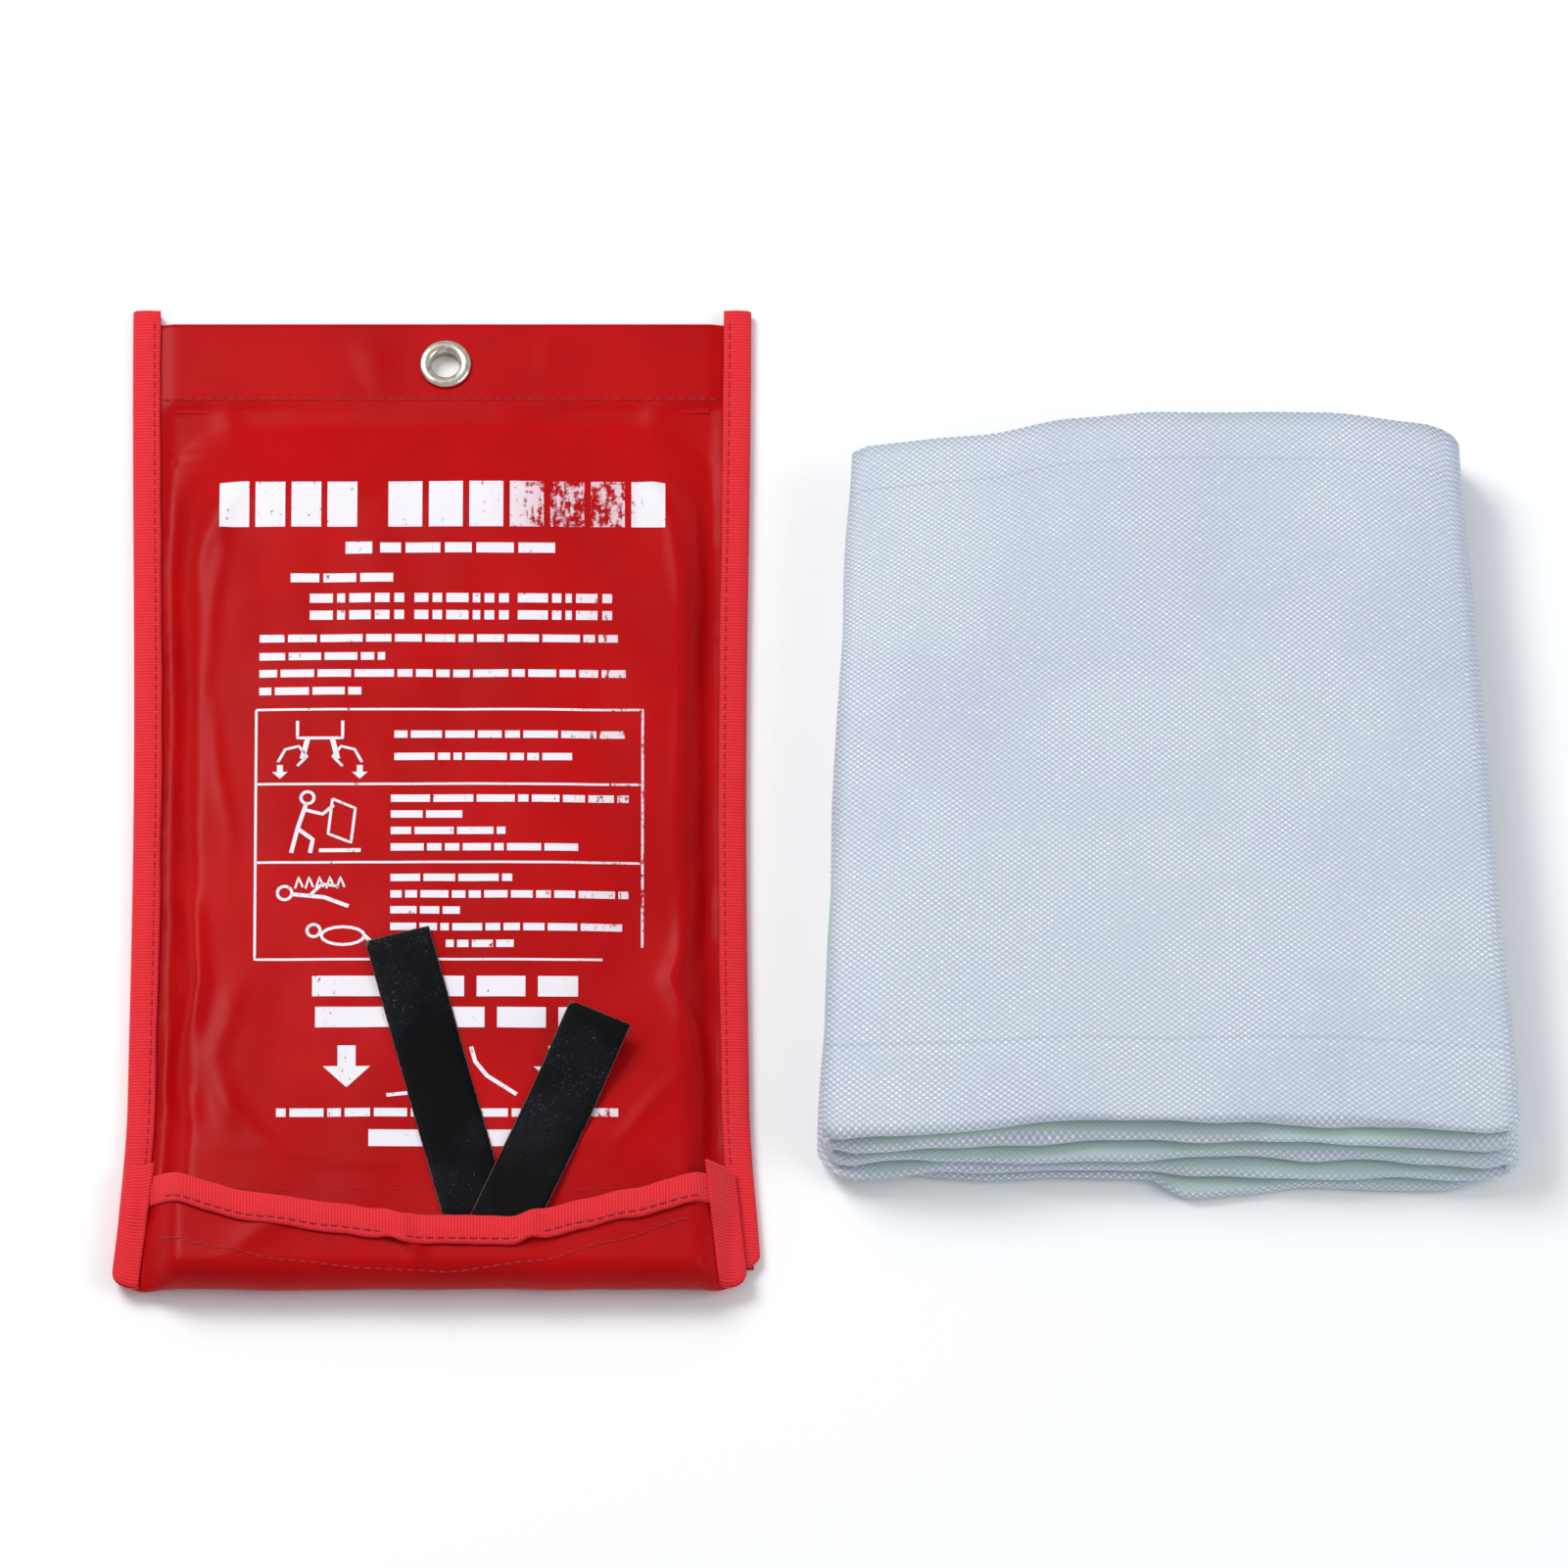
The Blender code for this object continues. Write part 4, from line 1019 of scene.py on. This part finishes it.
def lip_place(s, t):
    end_left, end_right = flap_reach(-120 * mm, -1) + 7.0 * mm, flap_reach(-120 * mm, 1) - 7.0 * mm
    u = end_left + s * (end_right - end_left)
    wave = waver(u / (14 * mm), 0.3, 6.0)
    y = lip_y(u) + 0.25 * mm * waver(u / (6 * mm), 2.3, 6.0)
    level = flap_level(u, y - 5 * mm)
    pinch = 0.9 * mm * (bell((u / mm + 12.5) / 3.0) + bell((u / mm - 26.0) / 3.0))
    reach, z = folded_section(t, 9.3 * mm + 0.4 * mm * wave - 0.6 * pinch, level - 1.1 * mm,
                              level + WALL + 1.1 * mm + pinch, 0.30 * mm)
    return Vector((POUCH_X + u, y - reach, z))


lip = thicken(cloth("lip_tape", 340, 24, lip_place, grosgrain, "flap",
                    lambda s, t: (s * 170 * mm, t * 20 * mm)), TAPE_WALL, 1.0)
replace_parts(lip, "lip_binding")


def end_place(side, s, t):
    top = lip_y(flap_reach(-120 * mm, side)) + 1.2 * mm
    reach, _ = folded_section(s, END_WIDTH, 0.0, 2.7 * mm)
    foot = FOLD_Y - 5.6 * mm + 5.2 * mm * (1.0 - math.sqrt(1.0 - max(1.0 - reach / (7.0 * mm), 0.0) ** 2))
    y = foot + t * (top - foot)
    outer = flap_reach(y, side)
    level = flap_level(outer - side * reach, y) - FLAP_EDGE
    over_lip = 1.2 * mm * smooth((t - 0.45) / 0.2) * smooth((reach - 1.5 * mm) / (2 * mm))
    flat = math.sqrt(max(1.0 - (max(FOLD_Y - y, 0.0) / (6.9 * mm)) ** 2, 0.02))
    low, high = FLAP_EDGE - 1.1 * mm, FLAP_EDGE + WALL + 1.1 * mm
    centre = FLAP_EDGE - 1.6 * mm * (1.0 - flat)
    _, z = folded_section(s, END_WIDTH, centre + (low - centre) * flat, centre + (high - centre) * flat,
                          0.15 * mm)
    lift = level * flat if s > 0.7 or s < 0.3 else 0.0
    return Vector((POUCH_X + outer - side * reach, y, z + lift + (over_lip if s > 0.7 else 0.0)))


for label, side in SIDES:
    tape = cloth(f"flap_{label}_tape", 24, 60, lambda s, t, side=side: end_place(side, s, t), grosgrain,
                 "flap", lambda s, t: (t * 36 * mm, s * 20 * mm))
    thicken(tape, TAPE_WALL, side)
    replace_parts(tape, f"flap_{label}_binding")

lip_row = [(-78 + k) * mm for k in range(153)]
stitches("lip_stitches",
         [Vector((POUCH_X + u, lip_y(u) - 7.5 * mm, flap_level(u, lip_y(u) - 5 * mm) + WALL + 1.3 * mm))
          for u in lip_row if abs(flap_reach(FOLD_Y, 1 if u > 0 else -1)) - abs(u) > 9 * mm],
         "flap", "lip_thread", radius=0.32 * mm)
FLAP_SEAM = ((-84.0, -140.0), (-62.0, -145.6), (-45.0, -149.2), (-20.0, -151.4), (3.0, -152.2),
             (30.0, -149.4), (50.0, -143.6), (72.0, -136.4))
seam = []
for k in range(156):
    u = (-82.0 + k) * mm
    y = follow(FLAP_SEAM, u / mm) * mm
    if y < FOLD_Y:
        seam.append(Vector((POUCH_X + u, y, fold_height(u, FOLD_Y - y) + 0.25 * mm)))
    else:
        seam.append(Vector((POUCH_X + u, y, flap_level(u, y) + WALL + 0.1 * mm)))
flap_row = stitches("flap_stitches", seam, None, "flap_thread", radius=0.30 * mm)
reaches = [min(max(FOLD_Y - vert.co.y, 0.0) / FOLD_REACH, 1.0) for vert in flap_row.data.vertices]
hinged(flap_row, [smooth(0.5 + math.acos(reach) / math.pi) for reach in reaches])


# Closure patches ---
# Two small hook-and-loop patches hold the flap's ends shut: woven tape with looped pile on the pouch and
# stiff hooks under the lip.
def pile_paint(wire):
    loops = wire.node("TexVoronoi", {}, {"Vector": wire.object_place(), "Scale": 1900.0})
    colour = loops.between(0.1, 0.7).blend((0.42, 0.012, 0.018, 1.0), (0.16, 0.004, 0.006, 1.0))
    return {"Base Color": colour, "Normal": wire.relief(loops, 0.3 * mm)}


pile = material("red_pile", pile_paint, {"Roughness": 0.95})
for label in ("left", "right"):
    for half in ("loop", "hook"):
        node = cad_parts[f"{label}_{half}_patch"]
        node.data.materials.clear()
        node.data.materials.append(pile)


# Loose blanket ---
# The same square metre of glass cloth, unpacked: folded in half twice, then to and fro into five soft
# strips. Its front edges wander and droop, and the coating's mint green is painted as shade on the folds'
# under and inner faces.
LOOSE_STRIPS = 5
top_low, top_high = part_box("blanket_top_fold")
STRIP = top_high.z - top_low.z
STEP = 5.9 * mm
LOOSE_PLY = (STRIP - 0.3 * mm) / 3.6
STRIPS_X = 100.8 * mm
FAR_Y = top_high.y
LENGTH = 229.0 * mm
LOOSE_HALF = 95.35 * mm
TAPER = 12.4 * mm
LEAN = 3.1 * mm
loose_up = folded([(1, 1.5 * LOOSE_PLY), (-1, -1.5 * LOOSE_PLY), (1, -0.5 * LOOSE_PLY),
                   (-1, 0.5 * LOOSE_PLY)], 34)
loose_over = folded([(1 if k % 2 == 0 else -1, k * STEP) for k in range(LOOSE_STRIPS)], 40)
FAR_EDGE = ((-1.1, -13.0), (-0.93, -9.5), (-0.6, -7.0), (-0.3, -2.2), (0.0, 0.0), (0.6, 0.0), (0.9, -2.5),
            (1.1, -5.0))
NEAR_EDGE = ((-1.1, -5.0), (-0.85, -2.6), (-0.6, -1.4), (-0.3, 0.2), (0.2, 0.6), (0.5, -0.6), (0.9, -2.4),
             (1.1, -4.0))


def loose_place(over, up):
    side, reach, rise, out, lift, stage = over
    back, up_reach, lean, _, _, ply_stage = up
    height = rise + 0.5 * STRIP + lean * lift
    level = rise / (4 * STEP)
    near = FAR_Y - LENGTH - 12.0 * mm * (0.5 - level) + 1.5 * LOOSE_PLY
    far = FAR_Y - 0.6 * mm
    y = 0.5 * (near + far) + back * 0.5 * (far - near) + math.copysign(up_reach, back)
    share = (y - FAR_Y + LENGTH) / LENGTH
    half = LOOSE_HALF - TAPER * max(share, 0.0)
    x = STRIPS_X - LEAN * share + side * half + math.copysign(reach + out * lean, side)
    t = (x - STRIPS_X + LEAN * share) / half
    nearness = smooth(1.0 - share * 3.2)
    farness = smooth(share * 2.4 - 1.4)
    y += follow(FAR_EDGE, t) * mm * farness * (0.55 + 0.45 * level)
    y += follow(NEAR_EDGE, t) * mm * nearness * level
    y += nearness * 2.6 * mm * waver(t * 2.1, height / (6.5 * mm), 1.9)
    y += nearness * 1.0 * mm * waver(t * 6.5, height / (4.0 * mm), 7.9)
    tucked = 1.0 - smooth((t + 0.06) / 0.10) * smooth((0.97 - t) / 0.12)
    y += nearness * 5.0 * mm * smooth(1.0 - level * 3.0) * tucked
    y += nearness * 5.0 * mm * max((abs(t) - 0.93) / 0.12, 0.0) ** 2.2
    y -= farness * 3.2 * mm * max((abs(t) - 0.94) / 0.12, 0.0) ** 2.2
    x -= 4.4 * mm * smooth(stage - 3.0) * smooth((-t - 0.6) / 0.4)
    x += 1.4 * mm * smooth((abs(t) - 0.7) / 0.3) * waver(share * 4.0, height / (7 * mm), 3.0 + t)
    puff = 1.5 * waver(x / 46.0, y / 60.0, 2.2, mm)
    puff += 0.5 * waver(x / 17.0, y / 21.0, 6.1, mm)
    droop = 2.8 * smooth((abs(t) - 0.72) / 0.36) + 2.2 * nearness ** 3 + 1.2 * farness ** 3
    ripple = 1.0 * nearness ** 2 * waver(t * 3.2, height / (7.0 * mm), 11.0)
    height += (puff - droop + ripple) * mm * smooth(height / (16.0 * mm))
    # Mint green, the coating's colour, painted as shade: on the lower strips' near faces under the strip
    # above, on the under half of each rolled edge and on the inner plies.
    front = smooth(1.4 - share * 9.0)
    rolled = lean * lift / (1.5 * LOOSE_PLY)
    ledge = smooth((0.98 - level) * 20.0) * smooth((0.93 - abs(t)) * 20.0)
    if up_reach >= 0.6 * LOOSE_PLY:
        ledge = 0.0
    under = smooth(0.25 - 1.6 * rolled) * (1.0 if up_reach > 0.0 else 0.0)
    mint_shade = max(front * ledge, front * under, 0.9 * smooth((ply_stage - 1.4) / 0.3))
    return Vector((x, y, max(height, 0.35 * mm))), mint_shade, smooth(stage - (LOOSE_STRIPS - 2))


loose = folded_cloth("loose_cloth", loose_up, loose_over, loose_place, glass)
settled(thicken(loose, 0.28 * mm, 0.0))
turned_over = [item.value for item in loose.data.attributes["opened"].data]
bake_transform(loose)
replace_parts(loose, "blanket_lower_folds", "blanket_spine_fold", "blanket_top_fold")
